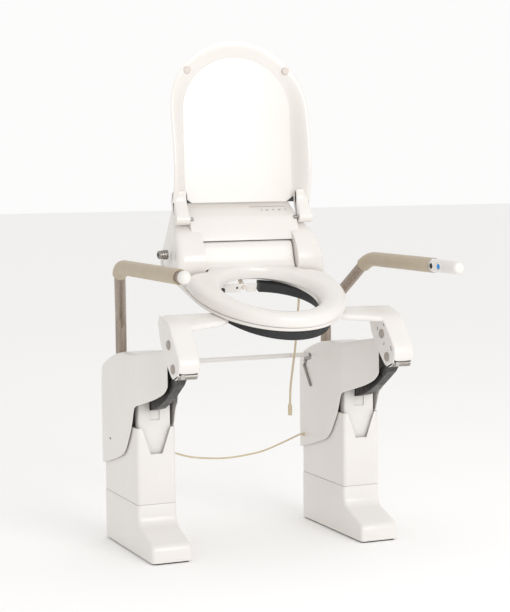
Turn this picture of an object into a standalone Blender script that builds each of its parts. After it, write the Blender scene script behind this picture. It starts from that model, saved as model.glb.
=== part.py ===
"""Powered raised toilet seat: two lifting columns carry a tilting seat frame, a wash seat with lid, and two armrests.

Metres, +Z up, -Y is the front that the user faces away from the wall. The part's origin is on the floor, under the
middle of its bounding box. Lengths below are in the frame of the columns, whose zero sits COLUMN_BACK behind it.
"""
import bmesh
import bpy
from math import atan2, cos, hypot, pi, radians, sin, tan
from mathutils import Matrix, Vector

GAP = 0.0003                 # between pieces that touch
COLUMN_BACK = 0.214          # column frame's zero, behind the part's origin
COLUMN_X = 0.2965            # middle of each column, from the middle of the seat
LIFT_TRAVEL = 0.17           # carriage, from raised down to lowered
STAGE_TRAVEL = LIFT_TRAVEL / 2
TILT = radians(18)           # seat frame, forwards when raised and level when lowered

FOOT_HALF, FOOT_FRONT, FOOT_REAR, FOOT_TOP = 0.0545, -0.250, 0.128, 0.135
COLUMN_HALF, COLUMN_FRONT, HOUSING_TOP = 0.0535, -0.142, 0.336
STAGE_HALF, STAGE_FRONT, STAGE_REAR = 0.044, -0.130, 0.020
STAGE_LOW, STAGE_TOP = 0.235, 0.4205
SHROUD_HALF, NOSE_HALF, NOSE_START, NOSE_END = 0.060, 0.022, -0.142, -0.250
WALL = 0.003

PIVOT = (-0.3176, 0.5688)                # seat frame's pivot bolts, y and z
LINK_BOLT = (-0.3468, 0.5112)            # tilt link's upper bolts
LINK_PIN = (-0.060, 0.4085)              # tilt link's lower pins
CHEEK_OUT, CHEEK_IN, LINK_HALF = 0.0275, 0.0245, 0.012
BOLT_R, BOLT_HEAD_R = 0.005, 0.012

ACTUATOR_Y = 0.052
POST_X, POST_Y, TUBE_R = 0.307, 0.101, 0.015
GRIP_X, GRIP_Z, GRIP_R = 0.362, 0.7506, 0.0195
GRIP_BACK, GRIP_FRONT = -0.105, {-1: -0.503, 1: -0.429}
HANDLE_END = {-1: -0.548, 1: -0.563}
CROSSBAR = (0.070, 0.477)                # y and z
CABLE_EXIT = (0.100, 0.245)              # y and z

# Seat frame, level, from the pivot axis: y to the rear, z up.
RING_LOW, RING_TOP = 0.0583, 0.0920
FLANGE_LOW, BAND_LOW = 0.0480, 0.0280
HOLE_Y, HOLE_A, HOLE_B = 0.143, 0.125, 0.150
RING_Y, RING_A, RING_B = 0.171, 0.208, 0.244
LID_HINGE, RING_HINGE = (0.3606, 0.1985), (0.323, 0.128)
COVER_HALF, WING_HALF, APRON_HALF = 0.1565, 0.216, 0.131
LID_FOOT = (0.0426, 0.0277)              # foot of the lid's inner face, from its hinge
LID_LEAN = radians(21)
LID_HALF, LID_TOP, LID_ARCH, LID_BACK = 0.200, 0.437, 0.190, 0.010
LID_RIM = [(-0.010, 0.018), (0.012, 0.025), (0.050, 0.038), (0.090, 0.044), (0.140, 0.043), (0.190, 0.038),
           (0.290, 0.023), (0.355, 0.011), (0.400, 0.007), (0.450, 0.005)]       # height of the rim, going up the lid
EAR_IN, EAR_OUT = 0.159, 0.198
NOZZLE_X, NOZZLE_TIP, NOZZLE_SLOPE, NOZZLE_LONG = -0.020, (0.262, 0.034), radians(20), 0.125

for leftover in list(bpy.data.objects):
    bpy.data.objects.remove(leftover)


# ---------------------------------------------------------------- materials
def finish(name, colour, roughness, metallic=0.0):
    """A Principled material with one sRGB hex colour."""
    material = bpy.data.materials.new(name)
    material.use_nodes = True
    shader = material.node_tree.nodes["Principled BSDF"]
    channels = [int(colour[i:i + 2], 16) / 255 for i in (0, 2, 4)]
    shader.inputs["Base Color"].default_value = [c ** 2.2 for c in channels] + [1]
    shader.inputs["Roughness"].default_value = roughness
    shader.inputs["Metallic"].default_value = metallic
    return material


WHITE = finish("white_abs", "EFEDEB", 0.30)
SEAT_WHITE = finish("seat_plastic", "EEECE8", 0.25)
PANEL = finish("panel_grey", "C9C5C0", 0.35)
RUBBER = finish("black_rubber", "1F2022", 0.75)
DARK_STEEL = finish("black_steel", "3A3A3A", 0.45, 0.8)
STEEL = finish("zinc_plated_steel", "9FA2A4", 0.38, 1.0)
STAINLESS = finish("brushed_stainless", "9B8E82", 0.30, 1.0)
CHROME = finish("chrome", "C8C8C8", 0.10, 1.0)
FOAM = finish("beige_foam", "C5B8A5", 0.70)
CAP = finish("bolt_cap", "A59C93", 0.45)
BLUE = finish("blue_button", "1E90D8", 0.35)
BLACK = finish("black_button", "202124", 0.40)
CABLE = finish("beige_cable", "CFC5B6", 0.55)
BOARD = finish("circuit_board", "2F6B45", 0.50)


# ---------------------------------------------------------------- joint frames
def frame(name, parent, place=(0, 0, 0), tilt=0.0):
    """An empty that the pieces of one moving body hang on."""
    empty = bpy.data.objects.new(name, None)
    bpy.context.collection.objects.link(empty)
    empty.parent = parent
    empty.location = place
    empty.rotation_euler = (tilt, 0, 0)
    return empty


base = frame("base_frame", None, (0, COLUMN_BACK, 0))
carriage = frame("carriage_frame", base)
seat = frame("seat_frame_axis", carriage, (0, *PIVOT), TILT)
lid_axis = frame("lid_axis", seat, (0, *LID_HINGE))
ring_axis = frame("ring_axis", seat, (0, *RING_HINGE))


# ---------------------------------------------------------------- modelling helpers
def piece(name, shape, parent, material, sharp=35):
    """Turn a bmesh into a named, shaded object on its joint frame."""
    bmesh.ops.recalc_face_normals(shape, faces=shape.faces)
    mesh = bpy.data.meshes.new(name)
    shape.to_mesh(mesh)
    shape.free()
    mesh.materials.append(material)
    mesh.shade_smooth()
    mesh.set_sharp_from_angle(angle=radians(sharp))
    made = bpy.data.objects.new(name, mesh)
    bpy.context.collection.objects.link(made)
    made.parent = parent
    return made


def combine(target, operation, *shapes):
    """Cut shapes out of a piece, or join them to it, as Boolean modifiers."""
    for shape in shapes:
        tool = piece(f"{target.name}_{operation.lower()}_{len(target.modifiers)}", shape, target.parent, WHITE)
        tool.hide_render = True
        tool.display_type = "WIRE"
        modifier = target.modifiers.new(tool.name, "BOOLEAN")
        modifier.operation = operation
        modifier.solver = "EXACT"
        modifier.object = tool
    return target


def prism(outline, across, low, high):
    """Extrude a flat outline along x, y or z."""
    def place(a, b, along):
        return {"x": (along, a, b), "y": (a, along, b), "z": (a, b, along)}[across]
    shape = bmesh.new()
    face = shape.faces.new([shape.verts.new(place(a, b, low)) for a, b in outline])
    grown = bmesh.ops.extrude_face_region(shape, geom=[face])["geom"]
    moved = [v for v in grown if isinstance(v, bmesh.types.BMVert)]
    bmesh.ops.translate(shape, verts=moved, vec=Vector(place(0, 0, high - low)))
    return shape


def block(x, y, z, soft=0.0):
    """A box between pairs of x, y and z, with its edges bevelled by soft."""
    shape = bmesh.new()
    bmesh.ops.create_cube(shape, size=1)
    bmesh.ops.scale(shape, verts=shape.verts, vec=[abs(b - a) for a, b in (x, y, z)])
    bmesh.ops.translate(shape, verts=shape.verts, vec=[(a + b) / 2 for a, b in (x, y, z)])
    if soft:
        bmesh.ops.bevel(shape, geom=shape.edges[:], offset=soft, affect="EDGES", segments=2, profile=0.5, material=-1)
    return shape


def turned(profile, centre, along, steps=20):
    """Spin a profile of (distance along the axis, radius) points round an axis through centre."""
    axis = {"x": Vector((1, 0, 0)), "y": Vector((0, 1, 0)), "z": Vector((0, 0, 1))}[along]
    side = {"x": Vector((0, 1, 0)), "y": Vector((0, 0, 1)), "z": Vector((1, 0, 0))}[along]
    shape = bmesh.new()
    verts = [shape.verts.new(Vector(centre) + axis * d + side * r) for d, r in profile]
    closed = profile[0][1] > 0
    edges = [shape.edges.new(pair) for pair in zip(verts, verts[1:] + (verts[:1] if closed else []))]
    bmesh.ops.spin(shape, geom=verts + edges, cent=Vector(centre), axis=axis, angle=2 * pi, steps=steps, use_merge=True)
    bmesh.ops.remove_doubles(shape, verts=shape.verts, dist=1e-6)
    return shape


def rod(centre, along, low, high, radius, steps=20):
    return turned([(low, 0), (low, radius), (high, radius), (high, 0)], centre, along, steps)


def loft(sections):
    """Bridge loops of points one after the other and close both ends."""
    shape = bmesh.new()
    loops = []
    for section in sections:
        verts = [shape.verts.new(p) for p in section]
        loops.append((verts, [shape.edges.new((a, b)) for a, b in zip(verts, verts[1:] + verts[:1])]))
    for (_, first), (_, second) in zip(loops, loops[1:]):
        bmesh.ops.bridge_loops(shape, edges=first + second)
    shape.faces.new(loops[0][0])
    shape.faces.new(loops[-1][0])
    return shape


def rounded(outline, radius, steps=3):
    """The outline with each corner cut to an arc-like run of points."""
    points = []
    for before, corner, after in zip(outline[-1:] + outline[:-1], outline, outline[1:] + outline[:1]):
        corner, a, b = Vector(corner), Vector(before), Vector(after)
        start = corner + (a - corner).normalized() * radius
        end = corner + (b - corner).normalized() * radius
        for step in range(steps + 1):
            t = step / steps
            points.append(tuple((1 - t) ** 2 * start + 2 * t * (1 - t) * corner + t ** 2 * end))
    return points


def arc(centre, radius, start, end, steps):
    """Points on a circle, with angles in degrees."""
    angles = [radians(start + (end - start) * n / steps) for n in range(steps + 1)]
    return [(centre[0] + radius * cos(a), centre[1] + radius * sin(a)) for a in angles]


def ellipse(y, a, b, steps=32):
    return [(a * cos(2 * pi * n / steps), y + b * sin(2 * pi * n / steps)) for n in range(steps)]


def level(y, runs):
    """Read z at y from a broken line whose points run from the rear to the front."""
    for (y0, z0), (y1, z1) in zip(runs, runs[1:]):
        if y1 <= y <= y0:
            return z0 + (z1 - z0) * (y - y0) / (y1 - y0)
    return runs[-1][1]


def strap(line, half):
    """Outline of a bar of constant width that follows a line, with round ends."""
    sides = {1: [], -1: []}
    for n, (y, z) in enumerate(line):
        y0, z0 = line[max(n - 1, 0)]
        y1, z1 = line[min(n + 1, len(line) - 1)]
        run = hypot(y1 - y0, z1 - z0)
        for side in sides:
            sides[side].append((y - side * (z1 - z0) / run * half, z + side * (y1 - y0) / run * half))
    (y0, z0), (y1, z1) = line[-2], line[-1]
    tip = atan2(z1 - z0, y1 - y0) * 180 / pi
    (y2, z2), (y3, z3) = line[1], line[0]
    tail = atan2(z3 - z2, y3 - y2) * 180 / pi
    return (sides[-1][:-1] + arc(line[-1], half, tip - 90, tip + 90, 6)
            + sides[1][-2:0:-1] + arc(line[0], half, tail - 90, tail + 90, 6))


# ---------------------------------------------------------------- columns
SHROUD_TOP = [(0.135, 0.481), (0.082, 0.505), (0.003, 0.523), (-0.107, 0.527), (-0.202, 0.543), (-0.288, 0.556)]
SHROUD_EDGE = [(0.135, 0.206), (0.066, 0.221), (-0.027, 0.247), (-0.064, 0.263), (-0.092, 0.302), (-0.116, 0.337),
               (-0.134, 0.391), (-0.162, 0.400), (-0.219, 0.419), (-0.267, 0.442), (-0.288, 0.460)]


def shroud_half(y):
    """Half the shroud's width: full over the column, then tapering into the nose."""
    taper = min(max((NOSE_START - y) / (NOSE_START - NOSE_END), 0), 1)
    return SHROUD_HALF + (NOSE_HALF - SHROUD_HALF) * taper


def shroud_section(side, y, inset, drop):
    """One lateral section through the shroud, from its inner lower edge over the top to the outer one."""
    half, top, low = shroud_half(y) - inset, level(y, SHROUD_TOP) - inset, level(y, SHROUD_EDGE) - drop
    corner = 0.2 * half
    run = [(-half, low), (-half, top - corner), (-half + 0.3 * corner, top - 0.3 * corner), (-half + corner, top)]
    run += [(-a, z) for a, z in reversed(run)]
    return [(side * (COLUMN_X + a), y, z) for a, z in run]


def make_foot(side, tag):
    x = side * COLUMN_X
    piece(f"foot_pad_{tag}", prism(rounded([(x - 0.0495, -0.245), (x + 0.0495, -0.245), (x + 0.0495, 0.123),
                                            (x - 0.0495, 0.123)], 0.012), "z", 0, 0.004 - GAP), base, RUBBER)
    profile = [(FOOT_FRONT, 0.004), (FOOT_REAR, 0.004), (FOOT_REAR, FOOT_TOP), (COLUMN_FRONT, FOOT_TOP),
               (COLUMN_FRONT, 0.084), (FOOT_FRONT, 0.047)]
    shape = prism(profile, "x", x - FOOT_HALF, x + FOOT_HALF)
    soft = [e for e in shape.edges if all(0.01 < v.co.z < 0.1 and v.co.y < 0 for v in e.verts)]
    bmesh.ops.bevel(shape, geom=soft, offset=0.010, affect="EDGES", segments=3, profile=0.5, material=-1)
    combine(piece(f"foot_{tag}", shape, base, WHITE), "DIFFERENCE",
            block((x - 0.051, x + 0.051), (-0.137, 0.1245), (0.010, 0.2)))


def make_fixed_column(side, tag):
    x = side * COLUMN_X
    outline = [(x - COLUMN_HALF, COLUMN_FRONT), (x + COLUMN_HALF, COLUMN_FRONT),
               (x + COLUMN_HALF, FOOT_REAR), (x - COLUMN_HALF, FOOT_REAR)]
    inner = [(x - COLUMN_HALF + WALL, COLUMN_FRONT + WALL), (x + COLUMN_HALF - WALL, COLUMN_FRONT + WALL),
             (x + COLUMN_HALF - WALL, FOOT_REAR - WALL), (x - COLUMN_HALF + WALL, FOOT_REAR - WALL)]
    notch = [(x - 0.016, 0.267), (x + 0.016, 0.267), (x + 0.0425, 0.345), (x - 0.0425, 0.345)]
    rear_slope = [(0.010, 0.337), (0.129, 0.286), (0.140, 0.286), (0.140, 0.400), (0.010, 0.400)]
    combine(piece(f"lower_housing_{tag}", prism(rounded(outline, 0.010), "z", FOOT_TOP + GAP, HOUSING_TOP), base, WHITE),
            "DIFFERENCE", prism(rounded(inner, 0.008), "z", 0.1, 0.4), prism(notch, "y", -0.16, -0.13),
            prism(rear_slope, "x", x - 0.06, x + 0.06))
    channel = [(-0.035, 0.0225), (0.035, 0.0225), (0.035, 0.078), (0.031, 0.078),
               (0.031, 0.0265), (-0.031, 0.0265), (-0.031, 0.078), (-0.035, 0.078)]
    piece(f"guide_rail_{tag}", prism([(x + a, y) for a, y in channel], "z", 0.010 + GAP, 0.290), base, DARK_STEEL)
    tube = [(0.010 + GAP, 0), (0.010 + GAP, 0.019), (0.285, 0.019), (0.285, 0.011), (0.02, 0.011), (0.02, 0)]
    piece(f"actuator_{tag}", turned(tube, (x, ACTUATOR_Y, 0), "z"), base, STEEL)
    gland = [(0.2427, 0), (0.2427, 0.006), (0.2390, 0.006), (0.2307, 0.004), (0.2307, 0)]
    piece(f"cable_gland_{tag}", turned([(side * a, r) for a, r in gland], (0, *CABLE_EXIT), "x"), base, CABLE)


def make_stage(side, tag):
    """The middle stage rises half as far as the carriage and holds the tilt link's lower pin."""
    x = side * COLUMN_X
    outline = [(x - STAGE_HALF, STAGE_FRONT), (x + STAGE_HALF, STAGE_FRONT), (x + STAGE_HALF, STAGE_REAR),
               (x - STAGE_HALF, STAGE_REAR)]
    combine(piece(f"inner_column_{tag}", prism(rounded(outline, 0.006), "z", STAGE_LOW, STAGE_TOP), base, WHITE),
            "DIFFERENCE",
            block((x - STAGE_HALF + WALL, x + STAGE_HALF - WALL), (STAGE_FRONT + WALL, STAGE_REAR - WALL), (0.2, 0.5)),
            block((x - 0.0135, x + 0.0135), (-0.15, -0.12), (0.354, 0.5)),
            rod((x, *LINK_PIN), "x", -0.06, 0.06, BOLT_R + GAP))
    piece(f"link_pin_{tag}", rod((x, *LINK_PIN), "x", -0.0435, 0.0435, BOLT_R), base, STEEL)


def make_link(side, tag):
    axis = frame(f"link_axis_{tag}", base, (0, *LINK_PIN))
    y1, z1 = LINK_BOLT[0] - LINK_PIN[0], LINK_BOLT[1] - LINK_PIN[1]
    short = 1 - 0.00125 / hypot(y1, z1)
    eye = (y1 * short, z1 * short)
    line = [(0, 0), (-0.070, -0.0155), (-0.115, -0.0055), (-0.190, 0.0285), (-0.255, 0.0700), eye]
    x = side * COLUMN_X
    bar = piece(f"tilt_link_{tag}", prism(strap(line, 0.0135), "x", x - LINK_HALF, x + LINK_HALF), axis, DARK_STEEL)
    combine(bar, "DIFFERENCE", rod((x, 0, 0), "x", -0.05, 0.05, BOLT_R + 0.0008),
            rod((x, *eye), "x", -0.05, 0.05, 0.0075))


def make_carriage(side, tag):
    x = side * COLUMN_X
    frame_plate = block((x - 0.0492, x + 0.0492), (-0.105, 0.015), (0.509, 0.513))
    tongue = [(0.02, 0.5095), (-0.137, 0.5095), (-0.165, 0.492), (-0.25, 0.505), (-0.300, 0.530)]
    tongue += arc(PIVOT, 0.013, 300, 60, 8) + [(-0.2885, 0.5490), (-0.202, 0.5365), (-0.107, 0.5205), (0.02, 0.5150)]
    side_plate = [(-0.105, 0.24), (0.078, 0.24), (0.078, 0.496), (0.020, 0.5105), (-0.105, 0.5105)]
    plates = [prism(side_plate, "x", x + a, x + b) for a, b in ((-0.0492, -0.046), (0.046, 0.0492))]
    tongues = [prism(tongue, "x", x + a, x + b) for a, b in ((-0.0165, -0.0135), (0.0135, 0.0165))]
    rod_bracket = block((x - 0.0492, x + 0.0492), (0.030, 0.075), (0.470, 0.476))
    body = piece(f"carriage_frame_{tag}", frame_plate, carriage, DARK_STEEL)
    combine(body, "UNION", *plates, *tongues, rod_bracket)
    combine(body, "DIFFERENCE", rod((x, *PIVOT), "x", -0.05, 0.05, BOLT_R + 0.0008))
    piece(f"actuator_rod_{tag}", rod((x, ACTUATOR_Y, 0), "z", 0.19, 0.470 - GAP, 0.010), carriage, CHROME)

    rear_to_front = sorted({y for y, _ in SHROUD_TOP + SHROUD_EDGE} | {NOSE_START, NOSE_END}, reverse=True)
    outer = loft([shroud_section(side, y, 0, 0) for y in rear_to_front])
    cavity = [shroud_section(side, y, WALL, 0.06) for y in [0.132] + rear_to_front[1:-1]]
    front = shroud_section(side, rear_to_front[-1], WALL, 0.06)
    cavity.append([(a, b - 0.02, c) for a, b, c in front])
    opening = [(0.045, 0.15), (0.1315, 0.15), (0.1315, 0.470), (0.082, 0.492), (0.045, 0.501)]
    shroud = piece(f"shroud_{tag}", outer, carriage, WHITE)
    combine(shroud, "DIFFERENCE", loft(cavity), prism(opening, "x", x - side * 0.07, x - side * 0.05),
            rod((side * POST_X, POST_Y, 0), "z", 0.40, 0.60, TUBE_R + 0.0015))

    socket = block((side * POST_X - 0.022, side * POST_X + 0.022), (0.0795, 0.1225), (0.36, 0.45))
    combine(piece(f"armrest_socket_{tag}", socket, carriage, DARK_STEEL), "DIFFERENCE",
            rod((side * POST_X, POST_Y, 0), "z", 0.37, 0.5, TUBE_R + GAP))
    inner = side * (COLUMN_X - 0.0595)
    piece(f"rear_bracket_{tag}", block((inner, inner + side * 0.004), (0.050, 0.100), (0.435, 0.482)), carriage, STEEL)


def make_armrest(side, tag):
    x, gx, front = side * POST_X, side * GRIP_X, GRIP_FRONT[side]
    corners = [Vector(p) for p in ((x, POST_Y, 0.371), (x, POST_Y, 0.598), (gx, -0.060, GRIP_Z), (gx, front, GRIP_Z))]
    points = [corners[0]]
    for before, corner, after in zip(corners, corners[1:], corners[2:]):
        start = corner + (before - corner).normalized() * 0.042
        end = corner + (after - corner).normalized() * 0.042
        points += [(1 - t) ** 2 * start + 2 * t * (1 - t) * corner + t ** 2 * end for t in (n / 6 for n in range(7))]
    points.append(corners[-1])
    curve = bpy.data.curves.new(f"armrest_tube_{tag}", "CURVE")
    curve.dimensions = "3D"
    curve.bevel_depth = TUBE_R
    curve.bevel_resolution = 4
    curve.use_fill_caps = True
    spline = curve.splines.new("POLY")
    spline.points.add(len(points) - 1)
    for point, place in zip(spline.points, points):
        point.co = (*place, 1)
    curve.materials.append(STAINLESS)
    tube = bpy.data.objects.new(curve.name, curve)
    bpy.context.collection.objects.link(tube)
    tube.parent = carriage

    centre = (gx, 0, GRIP_Z)
    soft = 0.003
    bore = TUBE_R + GAP
    grip = turned([(front, bore), (front, GRIP_R - soft), (front + soft, GRIP_R), (GRIP_BACK - soft, GRIP_R),
                   (GRIP_BACK, GRIP_R - soft), (GRIP_BACK, bore)], centre, "y", 24)
    piece(f"grip_{tag}", grip, carriage, FOAM)


def make_handle_ends():
    """A round cap closes the left tube, and the hand control closes the right one."""
    front, end = GRIP_FRONT[-1], HANDLE_END[-1]
    cap = turned([(front - GAP, 0), (front - GAP, 0.0145), (front - 0.014, 0.0145), (front - 0.017, 0.0165),
                  (end + 0.006, 0.0165), (end, 0.011), (end, 0)], (-GRIP_X, 0, GRIP_Z), "y")
    piece("end_cap_left", cap, carriage, WHITE)
    front, end = GRIP_FRONT[1], HANDLE_END[1]
    control = turned([(front - GAP, 0), (front - GAP, 0.0175), (end + 0.006, 0.0165), (end, 0.011), (end, 0)],
                     (GRIP_X, 0, GRIP_Z), "y")
    body = piece("hand_control", control, carriage, WHITE)
    for y in (-0.447, -0.485):
        combine(body, "DIFFERENCE", rod((GRIP_X, y, GRIP_Z), "x", -0.03, -0.0105, 0.0075))
    for name, y, material in (("raise_button", -0.447, BLACK), ("lower_button", -0.485, BLUE)):
        knob = turned([(-0.0145, 0), (-0.0145, 0.0068), (-0.0190, 0.0068), (-0.0200, 0.0055), (-0.0200, 0)],
                      (0, 0, 0), "x")
        button = piece(name, knob, carriage, material)
        button.location = (GRIP_X, y, GRIP_Z)


def make_arm(side, tag):
    """Side arm of the seat frame: two cheeks and a front cover, with a beam running in under the seat."""
    x = side * COLUMN_X
    cheek = [(0.0857, 0.0475), (0.0135, 0.0494), (-0.0161, 0.0264), (-0.0759, -0.0056), (-0.0846, -0.0165),
             (-0.0844, -0.0418), (-0.0780, -0.0580), (-0.0620, -0.0700), (-0.0480, -0.0725), (-0.0340, -0.0680),
             (0.0100, -0.0480), (0.0560, -0.0180), (0.0857, 0.0200)]
    inside = [(0.13, 0.0440), (0.0150, 0.0458), (-0.0143, 0.0229), (-0.0739, -0.0089), (-0.0814, -0.0176),
              (-0.0813, -0.0385), (-0.0640, -0.0368), (-0.0640, -0.12), (0.13, -0.12)]
    beam = [(0.000, 0.0300), (0.0857, 0.0300), (0.0857, 0.0475), (0.0040, 0.0475)]
    arm = piece(f"arm_{tag}", prism(cheek, "x", x - CHEEK_OUT, x + CHEEK_OUT), seat, WHITE)
    combine(arm, "UNION", prism(beam, "x", side * 0.1545, side * 0.285))
    combine(arm, "DIFFERENCE", prism(inside, "x", x - CHEEK_IN, x + CHEEK_IN),
            block((x - CHEEK_IN, x + CHEEK_IN), (-0.12, -0.03), (-0.12, -0.043)),
            rod((x, 0, 0), "x", -0.05, 0.05, BOLT_R + GAP), rod((x, *link_bolt), "x", -0.05, 0.05, BOLT_R + GAP))
    head = CHEEK_OUT + 0.003
    for name, centre in (("pivot_bolt", (x, 0, 0)), ("link_bolt", (x, *link_bolt))):
        profile = [(-head, 0), (-head, BOLT_HEAD_R), (-CHEEK_OUT - GAP, BOLT_HEAD_R), (-CHEEK_OUT - GAP, BOLT_R),
                   (CHEEK_OUT + GAP, BOLT_R), (CHEEK_OUT + GAP, BOLT_HEAD_R), (head, BOLT_HEAD_R), (head, 0)]
        piece(f"{name}_{tag}", turned(profile, centre, "x"), seat, CAP)


for side, tag in ((-1, "left"), (1, "right")):
    y, z = LINK_BOLT[0] - PIVOT[0], LINK_BOLT[1] - PIVOT[1]
    link_bolt = (y * cos(TILT) + z * sin(TILT), z * cos(TILT) - y * sin(TILT))
    make_foot(side, tag)
    make_fixed_column(side, tag)
    make_stage(side, tag)
    make_link(side, tag)
    make_carriage(side, tag)
    make_armrest(side, tag)
    make_arm(side, tag)
make_handle_ends()
end = COLUMN_X - 0.0595 - GAP
piece("cross_bar", rod((0, *CROSSBAR), "x", -end, end, 0.0065, 16), carriage, WHITE)


# ---------------------------------------------------------------- seat
def oval_front(y, a, b, rear, steps=24):
    """Half an ellipse round the front, then straight sides back to rear."""
    angles = [pi + pi * n / steps for n in range(steps + 1)]
    return [(-a, rear)] + [(a * cos(t), y + b * sin(t)) for t in angles] + [(a, rear)]


def nozzle_rod(low, high, radius):
    """A rod on the nozzle's sloping axis, measured back from its tip."""
    shape = rod((0, 0, 0), "y", low, high, radius, 16)
    turn = Matrix.Rotation(NOZZLE_SLOPE, 4, "X")
    bmesh.ops.transform(shape, matrix=Matrix.Translation((NOZZLE_X, *NOZZLE_TIP)) @ turn, verts=shape.verts)
    return shape


band = combine(piece("support_ring", prism(ellipse(HOLE_Y, 0.153, 0.205), "z", BAND_LOW, FLANGE_LOW - GAP), seat, RUBBER),
               "DIFFERENCE", prism(ellipse(HOLE_Y, 0.135, 0.165), "z", 0, 0.1),
               block((-0.08, 0.08), (0.27, 0.40), (0, 0.1)))

base_outline = oval_front(RING_Y, 0.205, 0.238, 0.300)
base_outline = base_outline[1:-1] + [(0.205, 0.300), (0.222, 0.345), (0.222, 0.435), (0.200, 0.470),
                                     (-0.200, 0.470), (-0.222, 0.435), (-0.222, 0.345), (-0.205, 0.300)]
combine(piece("seat_base", prism(base_outline, "z", FLANGE_LOW, RING_LOW - 2 * GAP), seat, WHITE), "DIFFERENCE",
        prism(ellipse(HOLE_Y, 0.130, 0.156), "z", 0, 0.1), nozzle_rod(-0.1, 0.2, 0.008))

RING_REAR = 0.262
ring_outline = oval_front(RING_Y, RING_A, RING_B, RING_REAR)
ring_outline += [(APRON_HALF, RING_REAR), (APRON_HALF, 0.300), (-APRON_HALF, 0.300), (-APRON_HALF, RING_REAR)]
ring_shape = prism(ring_outline, "z", RING_LOW, RING_TOP)
rim = [e for e in ring_shape.edges if all(v.co.z > 0.09 and v.co.y < RING_REAR - 0.001 for v in e.verts)]
bmesh.ops.bevel(ring_shape, geom=rim, offset=0.010, affect="EDGES", segments=2, profile=0.5, material=-1)
shift = Vector((0, -RING_HINGE[0], -RING_HINGE[1]))
bmesh.ops.translate(ring_shape, verts=ring_shape.verts, vec=shift)
apron = prism([(0.284, 0.060), (0.284, 0.0935), (0.318, 0.145), (0.334, 0.143), (0.334, 0.120), (0.300, 0.060)],
              "x", -APRON_HALF + 0.001, APRON_HALF - 0.001)
hole = prism(ellipse(HOLE_Y, HOLE_A, HOLE_B), "z", 0, 0.2)
hinge_bore = rod((0, *RING_HINGE), "x", -0.2, 0.2, 0.0045, 16)
for shape in (apron, hole, hinge_bore):
    bmesh.ops.translate(shape, verts=shape.verts, vec=shift)
ring = piece("seat_ring", ring_shape, ring_axis, SEAT_WHITE)
combine(ring, "UNION", apron)
combine(ring, "DIFFERENCE", hole, hinge_bore)
piece("ring_hinge_pin", rod((0, *RING_HINGE), "x", -0.1327, 0.1327, 0.004, 16), seat, STEEL)

centre_body = [(0.3125, RING_LOW), (0.346, 0.112), (0.346, 0.146), (0.320, 0.1495), (0.362, 0.200), (0.4205, 0.2205),
               (0.455, 0.224), (0.470, 0.212), (0.470, RING_LOW)]
wing = [(0.2645, RING_LOW), (0.470, RING_LOW), (0.470, 0.205), (0.400, 0.190), (0.372, 0.1785), (0.348, 0.1765),
        (0.305, 0.155), (0.274, 0.125), (0.2645, 0.100)]
cavity = [(0.356, 0.05), (0.356, 0.186), (0.420, 0.211), (0.452, 0.215), (0.464, 0.208), (0.464, 0.05)]
cover = piece("bidet_cover", prism(centre_body, "x", -COVER_HALF, COVER_HALF), seat, WHITE)
combine(cover, "UNION", *[prism(wing, "x", s * 0.134, s * WING_HALF) for s in (-1, 1)])
combine(cover, "DIFFERENCE", prism(cavity, "x", -0.150, 0.150), nozzle_rod(-0.1, 0.2, 0.008),
        *[rod((s * COVER_HALF, *LID_HINGE), "x", -0.012, 0.012, BOLT_R + GAP, 16) for s in (-1, 1)])

slope = atan2(0.2205 - 0.200, 0.4205 - 0.362)
panel_line = [(y, 0.2005 + (y - 0.362) * tan(slope)) for y in (0.370, 0.404)]
panel = prism(panel_line + [(y - 0.0005, z + 0.0016) for y, z in reversed(panel_line)], "x", 0.020, 0.146)
piece("control_panel", panel, seat, PANEL)
piece("heater_tank", block((-0.130, -0.040), (0.372, 0.455), (0.066, 0.150), 0.008), seat, STEEL)
piece("control_board", block((0.010, 0.130), (0.372, 0.450), (0.100, 0.1016)), seat, BOARD)
inlet = [(-0.2163, 0), (-0.2163, 0.013), (-0.2290, 0.013), (-0.2290, 0.010), (-0.2420, 0.010), (-0.2420, 0)]
piece("water_inlet", turned(inlet, (0, 0.345, 0.106), "x"), seat, CHROME)

nozzle_axis = frame("nozzle_axis", seat, (NOZZLE_X, *NOZZLE_TIP), NOZZLE_SLOPE)
piece("spray_nozzle", turned([(0, 0), (0, 0.0045), (0.003, 0.006), (NOZZLE_LONG, 0.006), (NOZZLE_LONG, 0)],
                             (0, 0, 0), "y", 16), nozzle_axis, SEAT_WHITE)


# ---------------------------------------------------------------- lid
def lean(shape):
    """Stand a lid shape, drawn flat as (x, up the lid, out of its inner face), on its hinge."""
    up = Vector((0, sin(LID_LEAN), cos(LID_LEAN)))
    out = Vector((0, -cos(LID_LEAN), sin(LID_LEAN)))
    turn = Matrix(((1, 0, 0), (0, up.y, out.y), (0, up.z, out.z))).to_4x4()
    bmesh.ops.transform(shape, matrix=Matrix.Translation((0, *LID_FOOT)) @ turn, verts=shape.verts)
    return shape


def lid_outline(inset, foot):
    half, arch = LID_HALF - inset, LID_ARCH - inset
    middle = LID_TOP - LID_ARCH
    angles = [pi * n / 20 for n in range(21)]
    return [(half, foot)] + [(half * cos(t), middle + arch * sin(t)) for t in angles] + [(-half, foot)]


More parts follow.
